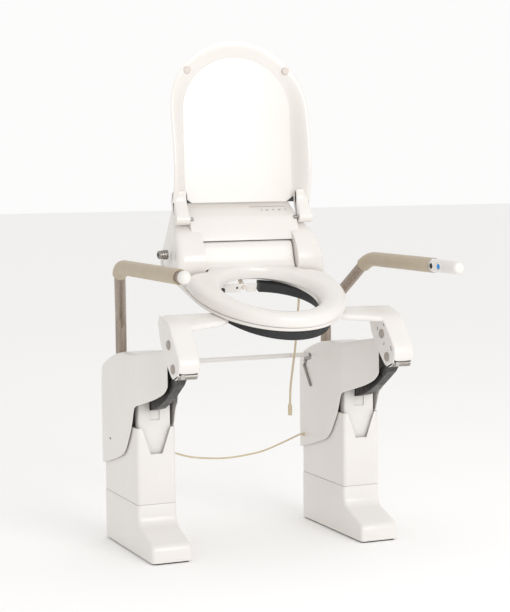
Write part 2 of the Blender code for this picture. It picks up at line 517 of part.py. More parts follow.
lid = piece("lid", lean(prism(lid_outline(0, 0.012), "z", -LID_BACK, 0.045)), lid_axis, SEAT_WHITE)
above_rim = LID_RIM + [(0.450, 0.060), (-0.010, 0.060)]
combine(lid, "DIFFERENCE", lean(prism(lid_outline(0.014, 0.0), "z", 0, 0.07)), lean(prism(above_rim, "x", -0.3, 0.3)))
ear = arc((0, 0), 0.015, 150, 330, 6) + [(0.0506, 0.0375), (0.0560, 0.0700), (0.0290, 0.0800), (0.0200, 0.0500)]
combine(lid, "UNION", *[prism(ear, "x", s * EAR_IN, s * EAR_OUT) for s in (-1, 1)])
combine(lid, "DIFFERENCE", rod((0, 0, 0), "x", -0.3, 0.3, BOLT_R + GAP, 16))
for side, tag in ((-1, "left"), (1, "right")):
    piece(f"lid_hinge_pin_{tag}", rod((0, *LID_HINGE), "x", side * 0.147, side * 0.1975, BOLT_R, 16), seat, STEEL)


# ---------------------------------------------------------------- hanging leads
def hanging_lead(name, route, radius, material, count, parent):
    """A lead along a smooth curve through its route, cut into count even steps."""
    nodes = [Vector(p) for p in route]
    padded = [2 * nodes[0] - nodes[1]] + nodes + [2 * nodes[-1] - nodes[-2]]
    fine = []
    for a, b, c, d in zip(padded, padded[1:], padded[2:], padded[3:]):
        for n in range(20):
            t = n / 20
            fine.append(0.5 * (2 * b + (c - a) * t + (2 * a - 5 * b + 4 * c - d) * t ** 2
                               + (3 * b - a - 3 * c + d) * t ** 3))
    fine.append(nodes[-1])
    curve = bpy.data.curves.new(name, "CURVE")
    curve.dimensions = "3D"
    curve.bevel_depth = radius
    curve.bevel_resolution = 2
    curve.use_fill_caps = True
    spline = curve.splines.new("POLY")
    spline.points.add(count)
    for n, point in enumerate(spline.points):
        point.co = (*fine[round(n * (len(fine) - 1) / count)], 1)
    curve.materials.append(material)
    lead = bpy.data.objects.new(name, curve)
    bpy.context.collection.objects.link(lead)
    lead.parent = parent


LINK_LEAD = [(-0.2300, 0.100, 0.245), (-0.220, 0.100, 0.245), (-0.170, 0.102, 0.226), (-0.110, 0.105, 0.206),
             (-0.050, 0.107, 0.197), (0.0, 0.108, 0.194), (0.050, 0.107, 0.197), (0.110, 0.105, 0.206),
             (0.170, 0.102, 0.226), (0.220, 0.100, 0.245), (0.2300, 0.100, 0.245)]
hanging_lead("link_lead", LINK_LEAD, 0.0025, CABLE, 60, base)

HOSE = [(0.199, 0.040, 0.7335), (0.199, 0.0405, 0.700), (0.196, 0.041, 0.640), (0.190, 0.042, 0.570),
        (0.184, 0.043, 0.500), (0.176, 0.044, 0.440), (0.170, 0.045, 0.390), (0.168, 0.045, 0.345)]
hanging_lead("bidet_lead", HOSE, 0.003, CABLE, 40, base)
plug = turned([(0, 0), (0, 0.0035), (-0.004, 0.006), (-0.030, 0.006), (-0.034, 0.0045), (-0.034, 0)],
              (0.168, 0.045, 0.345 - GAP), "z", 16)
piece("bidet_lead_plug", plug, base, PANEL)
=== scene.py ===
import bmesh
import bpy
from math import atan2, cos, hypot, pi, radians, sin
from mathutils import Matrix, Vector


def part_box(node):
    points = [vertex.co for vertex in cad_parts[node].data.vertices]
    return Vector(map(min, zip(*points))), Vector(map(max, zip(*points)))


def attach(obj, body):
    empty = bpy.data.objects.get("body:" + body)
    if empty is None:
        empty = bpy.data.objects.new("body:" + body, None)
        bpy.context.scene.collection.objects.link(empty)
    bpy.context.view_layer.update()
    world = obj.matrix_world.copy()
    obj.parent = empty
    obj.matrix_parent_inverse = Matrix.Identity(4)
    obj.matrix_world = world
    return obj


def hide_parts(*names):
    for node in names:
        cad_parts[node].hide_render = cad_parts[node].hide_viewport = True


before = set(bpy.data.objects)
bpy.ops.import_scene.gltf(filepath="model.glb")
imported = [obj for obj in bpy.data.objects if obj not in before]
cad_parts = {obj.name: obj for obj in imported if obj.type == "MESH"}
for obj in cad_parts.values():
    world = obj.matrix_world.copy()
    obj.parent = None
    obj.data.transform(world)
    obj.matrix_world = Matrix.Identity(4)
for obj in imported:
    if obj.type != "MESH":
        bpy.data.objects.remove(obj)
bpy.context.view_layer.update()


# The studio: a white sweep of paper under very soft, even light, so that the white
# plastic reads by gentle grey shading only. A large soft box stands in front, a second
# lifts the right, and the viewer stands to the left of the seat at chest height.
def sheet_light(name, at, aim, size, power, colour=(1, 1, 1)):
    """A rectangular soft box at a place, turned to face another."""
    lamp = bpy.data.lights.new(name, "AREA")
    lamp.shape, lamp.size, lamp.size_y, lamp.energy, lamp.color = "RECTANGLE", *size, power, colour
    box = bpy.data.objects.new(name, lamp)
    bpy.context.collection.objects.link(box)
    box.location = at
    box.rotation_euler = (Vector(aim) - Vector(at)).to_track_quat("-Z", "Y").to_euler()


sheet_light("soft_box_front", (0.9, -4.2, 2.2), (0, 0, 0.6), (2.6, 2.0), 74, (0.985, 0.995, 1))
sheet_light("soft_box_top", (0.2, 0.2, 3.6), (0, 0, 0.5), (2.4, 2.4), 3, (0.97, 0.99, 1))

camera = bpy.data.objects.new("camera", bpy.data.cameras.new("camera"))
bpy.context.collection.objects.link(camera)
camera.data.lens = 99.85
camera.data.sensor_width = 36
camera.matrix_world = (Matrix.Translation((-1.7672, -4.0357, 1.0194)) @ Matrix.Rotation(-0.4031, 4, "Z")
                       @ Matrix.Rotation(pi / 2 - 0.0847, 4, "X") @ Matrix.Rotation(-0.0094, 4, "Z"))
bpy.context.scene.camera = camera
bpy.context.scene.view_settings.view_transform = "Standard"


def linear(code):
    """sRGB hex to the linear RGBA that a shader takes."""
    parts = [int(code[n:n + 2], 16) / 255 for n in (0, 2, 4)]
    return [c / 12.92 if c <= 0.04045 else ((c + 0.055) / 1.055) ** 2.4 for c in parts] + [1]


def add(tree, kind, settings=None, links=None):
    """One node, with its sockets or attributes set and its inputs linked."""
    made = tree.nodes.new(kind)
    for name, value in (settings or {}).items():
        if isinstance(name, int) or name in made.inputs:
            made.inputs[name].default_value = value
        else:
            setattr(made, name, value)
    for name, source in (links or {}).items():
        tree.links.new(source, made.inputs[name])
    return made


def finish(name, settings):
    """A new material, with its tree, its Principled shader and its Object coordinates."""
    material = bpy.data.materials.new(name)
    material.use_nodes = True
    tree = material.node_tree
    shader = tree.nodes["Principled BSDF"]
    for socket, value in settings.items():
        shader.inputs[socket].default_value = value
    return material, tree, shader, add(tree, "ShaderNodeTexCoord").outputs["Object"]


# The room round the set is a little dimmer than the paper wall that the eye sees behind it.
room = bpy.data.worlds.new("white_studio")
room.use_nodes = True
wall = room.node_tree.nodes["Background"]
wall.inputs["Color"].default_value = (0.972, 0.972, 0.968, 1)
seen = add(room.node_tree, "ShaderNodeLightPath")
dim = add(room.node_tree, "ShaderNodeMapRange", {"To Min": 0.88, "To Max": 1.0}, {"Value": seen.outputs["Is Camera Ray"]})
room.node_tree.links.new(dim.outputs["Result"], wall.inputs["Strength"])
bpy.context.scene.world = room

paper, tree, shader, here = finish("white_paper_sweep", {"Roughness": 0.9, "Base Color": linear("FBFAF9"),
                                                         "Emission Color": linear("FFFEFC"), "Emission Strength": 0.05})
floor = bmesh.new()
bmesh.ops.create_grid(floor, x_segments=1, y_segments=1, size=30)
ground = bpy.data.objects.new("paper_floor", bpy.data.meshes.new("paper_floor"))
floor.to_mesh(ground.data)
ground.data.materials.append(paper)
bpy.context.collection.objects.link(ground)


# Two thin round leads in beige PVC: one links the electronics of the two towers behind
# the pan, the other hangs from the wash seat and ends in its plug. Both sag under their
# own weight. The sheath is extruded, so it is smooth and slightly satin.
COLUMN = Matrix.Translation((0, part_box("foot_left")[1].y - 0.128, 0))

sheath, tree, shader, here = finish("extruded_pvc_sheath", {"Roughness": 0.48, "IOR": 1.53})
mottle = add(tree, "ShaderNodeTexNoise", {"Scale": 60, "Detail": 2}, {"Vector": here})        # 17 mm drift
tint = add(tree, "ShaderNodeMix", {"data_type": "RGBA", 6: linear("C3B091"), 7: linear("D6C8AE")},
           {0: mottle.outputs["Fac"]})
tree.links.new(tint.outputs[2], shader.inputs["Base Color"])
ripple = add(tree, "ShaderNodeTexNoise", {"Scale": 700}, {"Vector": here})
bump = add(tree, "ShaderNodeBump", {"Strength": 0.12, "Distance": 0.0003}, {"Height": ripple.outputs["Fac"]})
tree.links.new(bump.outputs["Normal"], shader.inputs["Normal"])


def smooth_route(route, count):
    """Even steps along a smooth curve through a few points."""
    nodes = [Vector(p) for p in route]
    padded = [2 * nodes[0] - nodes[1]] + nodes + [2 * nodes[-1] - nodes[-2]]
    fine = []
    for a, b, c, d in zip(padded, padded[1:], padded[2:], padded[3:]):
        for n in range(20):
            t = n / 20
            fine.append(0.5 * (2 * b + (c - a) * t + (2 * a - 5 * b + 4 * c - d) * t ** 2
                               + (3 * b - a - 3 * c + d) * t ** 3))
    fine.append(nodes[-1])
    return [fine[round(n * (len(fine) - 1) / count)] for n in range(count + 1)]


def tube(name, points, radius, material, body, sides=4):
    """A round bar along points in the towers' frame."""
    line = bpy.data.curves.new(name, "CURVE")
    line.dimensions = "3D"
    line.bevel_depth = radius
    line.bevel_resolution = sides
    line.use_fill_caps = True
    spline = line.splines.new("POLY")
    spline.points.add(len(points) - 1)
    for point, place in zip(spline.points, points):
        point.co = (*(COLUMN @ Vector(place)), 1)
    line.materials.append(material)
    bar = bpy.data.objects.new(name, line)
    bpy.context.collection.objects.link(bar)
    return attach(bar, body)


def finished(name, shape, material, body, place=COLUMN, sharp=40, wall=0, soften=0, levels=0, parts=3):
    """Turn a mesh into a smooth-shaded piece on its body, with its wall, edge rounding and smoothing."""
    bmesh.ops.remove_doubles(shape, verts=shape.verts, dist=1e-6)
    bmesh.ops.recalc_face_normals(shape, faces=shape.faces)
    bmesh.ops.transform(shape, matrix=place, verts=shape.verts)
    mesh = bpy.data.meshes.new(name)
    shape.to_mesh(mesh)
    shape.free()
    mesh.materials.append(material)
    mesh.shade_smooth()
    if sharp:
        mesh.set_sharp_from_angle(angle=radians(sharp))
    piece = bpy.data.objects.new(name, mesh)
    bpy.context.collection.objects.link(piece)
    if wall:
        thick = piece.modifiers.new("wall", "SOLIDIFY")
        thick.thickness, thick.offset = wall, -1
    if soften:
        edge = piece.modifiers.new("soft_edges", "BEVEL")
        edge.width, edge.segments, edge.limit_method, edge.angle_limit = soften, parts, "ANGLE", radians(35)
    if levels:
        smooth = piece.modifiers.new("smooth", "SUBSURF")
        smooth.levels = smooth.render_levels = levels
    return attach(piece, body)


def turned(profile, centre, along="x", steps=40):
    """Spin a profile of (distance along the axis, radius) round an axis through a centre."""
    axis = {"x": Vector((1, 0, 0)), "y": Vector((0, 1, 0)), "z": Vector((0, 0, 1))}[along]
    out = {"x": Vector((0, 1, 0)), "y": Vector((0, 0, 1)), "z": Vector((1, 0, 0))}[along]
    shape = bmesh.new()
    verts = [shape.verts.new(Vector(centre) + axis * d + out * r) for d, r in profile]
    edges = [shape.edges.new(pair) for pair in zip(verts, verts[1:])]
    bmesh.ops.spin(shape, geom=verts + edges, cent=Vector(centre), axis=axis, angle=2 * pi, steps=steps,
                   use_merge=True)
    return shape


link_route = smooth_route([(-0.2300, 0.100, 0.245), (-0.220, 0.100, 0.245), (-0.170, 0.102, 0.226),
                           (-0.110, 0.105, 0.206), (-0.050, 0.107, 0.197), (0.0, 0.108, 0.194),
                           (0.050, 0.107, 0.197), (0.110, 0.105, 0.206), (0.170, 0.102, 0.226),
                           (0.220, 0.100, 0.245), (0.2300, 0.100, 0.245)], 60)
link_lead = tube("tower_link_lead", link_route, 0.0025, sheath, "base")
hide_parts("link_lead")

seat_route = smooth_route([(0.199, 0.040, 0.7335), (0.199, 0.0405, 0.700), (0.196, 0.041, 0.640),
                           (0.190, 0.042, 0.570), (0.184, 0.043, 0.500), (0.176, 0.044, 0.440),
                           (0.170, 0.045, 0.390), (0.168, 0.045, 0.345)], 40)
seat_lead = tube("wash_seat_lead", seat_route, 0.003, sheath, "seat_frame")
plug = finished("wash_seat_plug", turned([(0, 0), (0, 0.0032), (-0.003, 0.0048), (-0.008, 0.0058), (-0.012, 0.0058),
                                          (-0.0125, 0.0052), (-0.0135, 0.0052), (-0.014, 0.0058), (-0.030, 0.0058),
                                          (-0.033, 0.0046), (-0.034, 0)], (0.168, 0.045, 0.3447), "z", 24),
                sheath, "seat_frame")
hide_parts("bidet_lead")
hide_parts("bidet_lead_plug")

for tag in ("left", "right"):
    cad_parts[f"cable_gland_{tag}"].material_slots[0].material = sheath


# The feet: deep ABS mouldings, one under each tower, with a low sloping toe that keeps
# the lift from tipping forwards. Moulded ABS has a fine spark-eroded grain and a satin
# gloss; each foot stands on a black rubber sheet that keeps it from sliding.
TOWER = 0.2965
abs_shell, tree, shader, here = finish("moulded_white_abs", {"Roughness": 0.32, "IOR": 1.53,
                                                             "Coat Weight": 0.15, "Coat Roughness": 0.18})
drift = add(tree, "ShaderNodeTexNoise", {"Scale": 9, "Detail": 2}, {"Vector": here})          # 110 mm, flow of the melt
tint = add(tree, "ShaderNodeMix", {"data_type": "RGBA", 6: linear("E1DDD8"), 7: linear("E8E4E0")},
           {0: drift.outputs["Fac"]})
tree.links.new(tint.outputs[2], shader.inputs["Base Color"])
haze = add(tree, "ShaderNodeTexNoise", {"Scale": 40, "Detail": 4}, {"Vector": here})          # 25 mm, wiping marks
sheen = add(tree, "ShaderNodeMapRange", {"To Min": 0.27, "To Max": 0.38}, {"Value": haze.outputs["Fac"]})
tree.links.new(sheen.outputs["Result"], shader.inputs["Roughness"])
grain = add(tree, "ShaderNodeTexNoise", {"Scale": 650, "Detail": 1}, {"Vector": here})        # 1.5 mm, coarser than real
sink = add(tree, "ShaderNodeBump", {"Strength": 0.06, "Distance": 0.002}, {"Height": drift.outputs["Fac"]})
bump = add(tree, "ShaderNodeBump", {"Strength": 0.10, "Distance": 0.0002},
           {"Height": grain.outputs["Fac"], "Normal": sink.outputs["Normal"]})
tree.links.new(bump.outputs["Normal"], shader.inputs["Normal"])

rubber, tree, shader, here = finish("moulded_black_rubber", {"Roughness": 0.62, "IOR": 1.52})
chalk = add(tree, "ShaderNodeTexNoise", {"Scale": 90, "Detail": 4}, {"Vector": here})         # 11 mm, dusty bloom
tint = add(tree, "ShaderNodeMix", {"data_type": "RGBA", 6: linear("17181A"), 7: linear("292A2C")},
           {0: chalk.outputs["Fac"]})
tree.links.new(tint.outputs[2], shader.inputs["Base Color"])
pebble = add(tree, "ShaderNodeTexVoronoi", {"Scale": 500}, {"Vector": here})                  # 2 mm pebbling
bump = add(tree, "ShaderNodeBump", {"Strength": 0.25, "Distance": 0.0003}, {"Height": pebble.outputs["Distance"]})
tree.links.new(bump.outputs["Normal"], shader.inputs["Normal"])


def prism(outline, across, low, high):
    """Extrude a flat outline along x, y or z."""
    def at(a, b, along):
        return {"x": (along, a, b), "y": (a, along, b), "z": (a, b, along)}[across]
    shape = bmesh.new()
    face = shape.faces.new([shape.verts.new(at(a, b, low)) for a, b in outline])
    grown = bmesh.ops.extrude_face_region(shape, geom=[face])["geom"]
    moved = [v for v in grown if isinstance(v, bmesh.types.BMVert)]
    bmesh.ops.translate(shape, verts=moved, vec=Vector(at(0, 0, high - low)))
    return shape


def round_off(shape, radius, chosen, segments=4):
    """Round the edges that a test picks."""
    picked = [e for e in shape.edges if chosen(*[v.co for v in e.verts])]
    bmesh.ops.bevel(shape, geom=picked, offset=radius, affect="EDGES", segments=segments, profile=0.5, material=-1)


for side, tag in ((-1, "left"), (1, "right")):
    x = side * TOWER
    shape = prism([(-0.250, 0.004), (0.128, 0.004), (0.128, 0.1348), (-0.142, 0.1348), (-0.142, 0.084),
                   (-0.250, 0.047)], "x", x - 0.0545, x + 0.0545)
    round_off(shape, 0.022, lambda a, b: abs(a.y + 0.142) < 0.001 and abs(a.z - 0.084) < 0.001
              and abs(b.y + 0.142) < 0.001 and abs(b.z - 0.084) < 0.001, 5)
    round_off(shape, 0.014, lambda a, b: a.y < -0.249 and b.y < -0.249 and a.z > 0.04 and b.z > 0.04, 5)
    round_off(shape, 0.0095, lambda a, b: abs(a.x - b.x) < 1e-5 and max(a.z, b.z) < 0.1347
              and min(a.z, b.z) > 0.0041 or abs(a.x - b.x) < 1e-5 and abs(a.y - b.y) < 1e-5, 5)
    crown = [f for f in shape.faces if f.calc_center_median().z > 0.1347]
    bmesh.ops.delete(shape, geom=crown, context="FACES")
    foot = finished(f"foot_cover_{tag}", shape, abs_shell, "base", wall=0.003, soften=0.0008, parts=2)
    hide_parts(f"foot_{tag}")
    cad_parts[f"foot_pad_{tag}"].material_slots[0].material = rubber


# The lower housings: straight ABS boxes, open at the top, that stand in the feet. A deep
# V is cut in each front wall, so that the tilt link can swing through it when the seat is
# down. The joint with the foot shows as a hairline.
def walled_box(x, half, front, rear, low, high, corner):
    """Four upright walls with rounded corners, open above and below."""
    shape = bmesh.new()
    bmesh.ops.create_cube(shape, size=1)
    bmesh.ops.scale(shape, verts=shape.verts, vec=(2 * half, rear - front, high - low))
    bmesh.ops.translate(shape, verts=shape.verts, vec=(x, (front + rear) / 2, (low + high) / 2))
    round_off(shape, corner, lambda a, b: abs(a.z - b.z) > 0.01, 6)
    ends = [f for f in shape.faces if abs(f.normal.z) > 0.9]
    bmesh.ops.delete(shape, geom=ends, context="FACES")
    return shape


def cut(shape, point, normal, chosen):
    """Split the chosen faces along a plane."""
    faces = [f for f in shape.faces if chosen(f.calc_center_median())]
    edges = list({e for f in faces for e in f.edges})
    verts = list({v for f in faces for v in f.verts})
    bmesh.ops.bisect_plane(shape, geom=verts + edges + faces, dist=1e-6, plane_co=Vector(point),
                           plane_no=Vector(normal))


for side, tag in ((-1, "left"), (1, "right")):
    x = side * TOWER
    shape = walled_box(x, 0.0535, -0.142, 0.128, 0.1353, 0.336, 0.010)
    lean = (0.345 - 0.267) / (0.0425 - 0.016)
    front = lambda c: c.y < -0.1415
    cut(shape, (x, 0, 0.267), (0, 0, 1), front)
    cut(shape, (x - 0.016, 0, 0.267), (lean, 0, 1), front)
    cut(shape, (x + 0.016, 0, 0.267), (-lean, 0, 1), front)
    inside = [f for f in shape.faces if front(f.calc_center_median()) and f.calc_center_median().z > 0.267
              and abs(f.calc_center_median().x - x) < 0.016 + (f.calc_center_median().z - 0.267) / lean]
    bmesh.ops.delete(shape, geom=inside, context="FACES")
    bmesh.ops.bisect_plane(shape, geom=shape.verts[:] + shape.edges[:] + shape.faces[:], dist=1e-6, clear_outer=True,
                           plane_co=(0, 0.010, 0.337), plane_no=(0, 0.051, 0.119))
    housing = finished(f"housing_{tag}", shape, abs_shell, "base", wall=0.003, soften=0.0009, parts=2)
    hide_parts(f"lower_housing_{tag}")


# The middle stages: powder-coated steel boxes that slide up out of the housings. A slot
# in the front lets the tilt link reach its pin inside. The powder gives a faint orange
# peel and a clean white, a little cooler than the mouldings.
powder, tree, shader, here = finish("white_powder_coat", {"Roughness": 0.38, "IOR": 1.5})
fade = add(tree, "ShaderNodeTexNoise", {"Scale": 14}, {"Vector": here})                       # 70 mm
tint = add(tree, "ShaderNodeMix", {"data_type": "RGBA", 6: linear("E2DEDA"), 7: linear("E8E5E1")},
           {0: fade.outputs["Fac"]})
tree.links.new(tint.outputs[2], shader.inputs["Base Color"])
peel = add(tree, "ShaderNodeTexNoise", {"Scale": 380, "Detail": 1}, {"Vector": here})         # 2.6 mm orange peel
bump = add(tree, "ShaderNodeBump", {"Strength": 0.18, "Distance": 0.0003}, {"Height": peel.outputs["Fac"]})
tree.links.new(bump.outputs["Normal"], shader.inputs["Normal"])

for side, tag in ((-1, "left"), (1, "right")):
    x = side * TOWER
    shape = walled_box(x, 0.044, -0.130, 0.020, 0.235, 0.4205, 0.006)
    front = lambda c: c.y < -0.1295
    cut(shape, (x, 0, 0.354), (0, 0, 1), front)
    cut(shape, (x - 0.0135, 0, 0), (1, 0, 0), front)
    cut(shape, (x + 0.0135, 0, 0), (1, 0, 0), front)
    slot = [f for f in shape.faces if front(f.calc_center_median()) and f.calc_center_median().z > 0.354
            and abs(f.calc_center_median().x - x) < 0.0135]
    bmesh.ops.delete(shape, geom=slot, context="FACES")
    stage = finished(f"middle_stage_{tag}", shape, powder, f"inner_column_{tag}", wall=0.003, soften=0.0008, parts=2)
    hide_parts(f"inner_column_{tag}")


# The works inside the towers: guide channels and carriage frames in black-coated steel,
# zinc-plated actuator tubes and pins, and a chromed push rod. They show only in the gaps
# beside the stages, where they make the dark that the eye sees there.
black_steel, tree, shader, here = finish("black_coated_steel", {"Roughness": 0.42, "Metallic": 0.0, "IOR": 1.5})
patch = add(tree, "ShaderNodeTexNoise", {"Scale": 45, "Detail": 3}, {"Vector": here})         # 22 mm
tint = add(tree, "ShaderNodeMix", {"data_type": "RGBA", 6: linear("1D1D1E"), 7: linear("343434")},
           {0: patch.outputs["Fac"]})
tree.links.new(tint.outputs[2], shader.inputs["Base Color"])
peel = add(tree, "ShaderNodeTexNoise", {"Scale": 420}, {"Vector": here})
bump = add(tree, "ShaderNodeBump", {"Strength": 0.15, "Distance": 0.0003}, {"Height": peel.outputs["Fac"]})
tree.links.new(bump.outputs["Normal"], shader.inputs["Normal"])

zinc, tree, shader, here = finish("zinc_plated_steel", {"Metallic": 1.0, "Roughness": 0.36})
spangle = add(tree, "ShaderNodeTexVoronoi", {"Scale": 220}, {"Vector": here})                 # 4.5 mm spangle
tint = add(tree, "ShaderNodeMix", {"data_type": "RGBA", 6: linear("8F8B86"), 7: linear("ABA7A1")},
           {0: spangle.outputs["Distance"]})
tree.links.new(tint.outputs[2], shader.inputs["Base Color"])
dull = add(tree, "ShaderNodeMapRange", {"To Min": 0.30, "To Max": 0.46}, {"Value": spangle.outputs["Distance"]})
tree.links.new(dull.outputs["Result"], shader.inputs["Roughness"])

chrome, tree, shader, here = finish("chrome_plate", {"Metallic": 1.0, "Roughness": 0.10})
breath = add(tree, "ShaderNodeTexNoise", {"Scale": 70, "Detail": 3}, {"Vector": here})        # 14 mm, finger film
tint = add(tree, "ShaderNodeMix", {"data_type": "RGBA", 6: linear("B9B6B2"), 7: linear("CCCAC7")},
           {0: breath.outputs["Fac"]})
tree.links.new(tint.outputs[2], shader.inputs["Base Color"])
dull = add(tree, "ShaderNodeMapRange", {"To Min": 0.08, "To Max": 0.20}, {"Value": breath.outputs["Fac"]})
tree.links.new(dull.outputs["Result"], shader.inputs["Roughness"])

for tag in ("left", "right"):
    for node, material in (("guide_rail", black_steel), ("carriage_frame", black_steel), ("armrest_socket", black_steel),
                           ("actuator", zinc), ("actuator_rod", chrome), ("link_pin", zinc), ("lid_hinge_pin", zinc)):
        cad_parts[f"{node}_{tag}"].material_slots[0].material = material
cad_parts["ring_hinge_pin"].material_slots[0].material = zinc
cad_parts["heater_tank"].material_slots[0].material = zinc


# The shrouds: one deep, soft-cornered ABS moulding over each tower, rising with the seat.
# The front narrows to a nose that goes in between the cheeks of the arm, the lower edge
# steps up over the link, and the top dips round the armrest post.
TOP_LINE = [(0.135, 0.477), (0.118, 0.488), (0.082, 0.505), (0.003, 0.523), (-0.107, 0.527), (-0.202, 0.543),
            (-0.288, 0.556)]
EDGE_LINE = [(0.135, 0.206), (0.066, 0.221), (-0.027, 0.247), (-0.064, 0.263), (-0.092, 0.302), (-0.116, 0.337),
             (-0.134, 0.391), (-0.162, 0.400), (-0.219, 0.419), (-0.267, 0.442), (-0.288, 0.460)]
POST = (0.307, 0.101)


def level(y, runs):
    """Read z at y from a broken line whose points run from the rear to the front."""
    for (y0, z0), (y1, z1) in zip(runs, runs[1:]):
        if y1 <= y <= y0:
            return z0 + (z1 - z0) * (y - y0) / (y1 - y0)
    return runs[-1][1]


def lofted(sections, closed=True, ends=True, ring=False):
    """Bridge rows of points one after the other, and close the ends."""
    shape = bmesh.new()
    rows = []
    for section in sections + (sections[:1] if ring else []):
        verts = [shape.verts.new(p) for p in section]
        pairs = list(zip(verts, verts[1:])) + ([(verts[-1], verts[0])] if closed else [])
        rows.append([shape.edges.new(pair) for pair in pairs])
    for first, second in zip(rows, rows[1:]):
        bmesh.ops.bridge_loops(shape, edges=first + second)
    if ends:
        for row in (rows[0], rows[-1]):
            bmesh.ops.edgenet_fill(shape, edges=row)
    return shape


def shroud_row(side, y, shrink=0.0):
    """One row across the shroud, from its inner lower edge over the top to the outer one."""
    taper = min(max((-0.142 - y) / 0.108, 0), 1)
    half = 0.060 + (0.022 - 0.060) * taper - shrink
    top, low = level(y, TOP_LINE) - shrink, level(y, EDGE_LINE)
    corner = 0.26 * half
    dip = 0.011 * max(0, 1 - abs(y - 0.098) / 0.075)
    run = [(-half, low), (-half, low + 0.008), (-half, (low + top) / 2), (-half, top - corner),
           (-half + 0.28 * corner, top - 0.28 * corner - 0.3 * dip), (-half + corner, top - 0.7 * dip),
           (-0.35 * half, top - dip), (0, top - dip)]
    run += [(-a, z) for a, z in reversed(run[:-1])]
    return [(side * (TOWER + a), y, z) for a, z in run]


for side, tag in ((-1, "left"), (1, "right")):
    stations = [0.1345, 0.128, 0.112, 0.090, 0.066, 0.030, -0.010, -0.027, -0.064, -0.092, -0.116, -0.128, -0.138,
                -0.150, -0.170, -0.195, -0.219, -0.243, -0.258, -0.272, -0.288]
    rows = [shroud_row(side, 0.135, 0.007)] + [shroud_row(side, y, 0.0025 if y > 0.13 else 0) for y in stations]
    shape = lofted(rows, closed=False, ends=False)
    shape.verts.ensure_lookup_table()
    rear = [v for v in shape.verts if v.co.y > 0.1349]
    rear_edges = [e for e in shape.edges if all(v in rear for v in e.verts)]
    low_two = sorted(rear, key=lambda v: v.co.z)[:2]
    rear_edges.append(shape.edges.new(low_two))
    bmesh.ops.edgenet_fill(shape, edges=rear_edges)
    back = [f for f in shape.faces if all(v.co.y > 0.1349 for v in f.verts)]
    bmesh.ops.inset_region(shape, faces=back, thickness=0.008, use_even_offset=True)
    shroud = finished(f"shroud_cover_{tag}", shape, abs_shell, "carriage", sharp=0, wall=0.003, levels=2)
    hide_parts(f"shroud_{tag}")
    screw = finished(f"shroud_screw_{tag}", turned([(0, 0.0), (0, 0.0016), (0.0004, 0.0030), (0.0012, 0.0032),
                                                    (0.0016, 0.0026), (0.0016, 0)],
                                                   (side * (TOWER + 0.0596) if side > 0 else -TOWER - 0.0612, 0.058,
                                                    0.283), "x", 20), black_steel, "carriage")


# Behind the pan a white-coated steel bar ties the two carriages together. It is bolted to
# a zinc-plated bracket on the inner wall of each shroud, which a pressed strut stiffens.
bar = finished("tie_bar", turned([(-0.2367, 0), (-0.2367, 0.0062), (-0.2355, 0.0065), (0.2355, 0.0065),
                                  (0.2367, 0.0062), (0.2367, 0)], (0, 0.070, 0.477), "x", 32), powder, "carriage")
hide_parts("cross_bar")
for side, tag in ((-1, "left"), (1, "right")):
    inner = side * (TOWER - 0.0595)
    shape = prism([(0.050, 0.435), (0.100, 0.435), (0.100, 0.482), (0.050, 0.482)], "x", inner, inner + side * 0.004)
    round_off(shape, 0.006, lambda a, b: abs(a.x - b.x) > 0.001, 3)
    plate = finished(f"tie_plate_{tag}", shape, zinc, "carriage", soften=0.0005, parts=2)
    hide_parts(f"rear_bracket_{tag}")
    shape = prism([(0.046, 0.392), (0.053, 0.388), (0.098, 0.446), (0.091, 0.450)], "x", inner - side * 0.006, inner)
    finished(f"tie_strut_{tag}", shape, zinc, "carriage", soften=0.0015, parts=2)
    shape = turned([(0, 0), (0, 0.0062), (-side * 0.003, 0.0062), (-side * 0.0042, 0.0050), (-side * 0.0042, 0)],
                   (inner, 0.088, 0.455), "x", 24)
    finished(f"tie_screw_{tag}", shape, zinc, "carriage")


# The tilt links: flat bars of black-coated steel that hold the arms level with the middle
# stages, so that the seat tips forwards as it rises. The coating is rubbed to bare brown in
# random patches.
rubbed, tree, shader, here = finish("rubbed_black_steel", {"Roughness": 0.36, "Metallic": 0.35})
scuff = add(tree, "ShaderNodeTexNoise", {"Scale": 55, "Detail": 6, "Roughness": 0.7}, {"Vector": here})  # 18 mm scuffs
tint = add(tree, "ShaderNodeValToRGB", links={"Fac": scuff.outputs["Fac"]})
tint.color_ramp.elements[0].position, tint.color_ramp.elements[0].color = 0.40, linear("2B2B2C")
tint.color_ramp.elements[1].position, tint.color_ramp.elements[1].color = 0.72, linear("5A5754")
tree.links.new(tint.outputs["Color"], shader.inputs["Base Color"])
for side, tag in ((-1, "left"), (1, "right")):
    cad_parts[f"tilt_link_{tag}"].material_slots[0].material = rubbed
    shape = prism([(-0.1264, 0.3830), (-0.1264, 0.3500), (-0.1249, 0.3500), (-0.1249, 0.3830)], "x",
                  side * TOWER - 0.0165, side * TOWER + 0.0165)
    shield = finished(f"slot_shield_{tag}", shape, powder, f"tilt_link_{tag}")


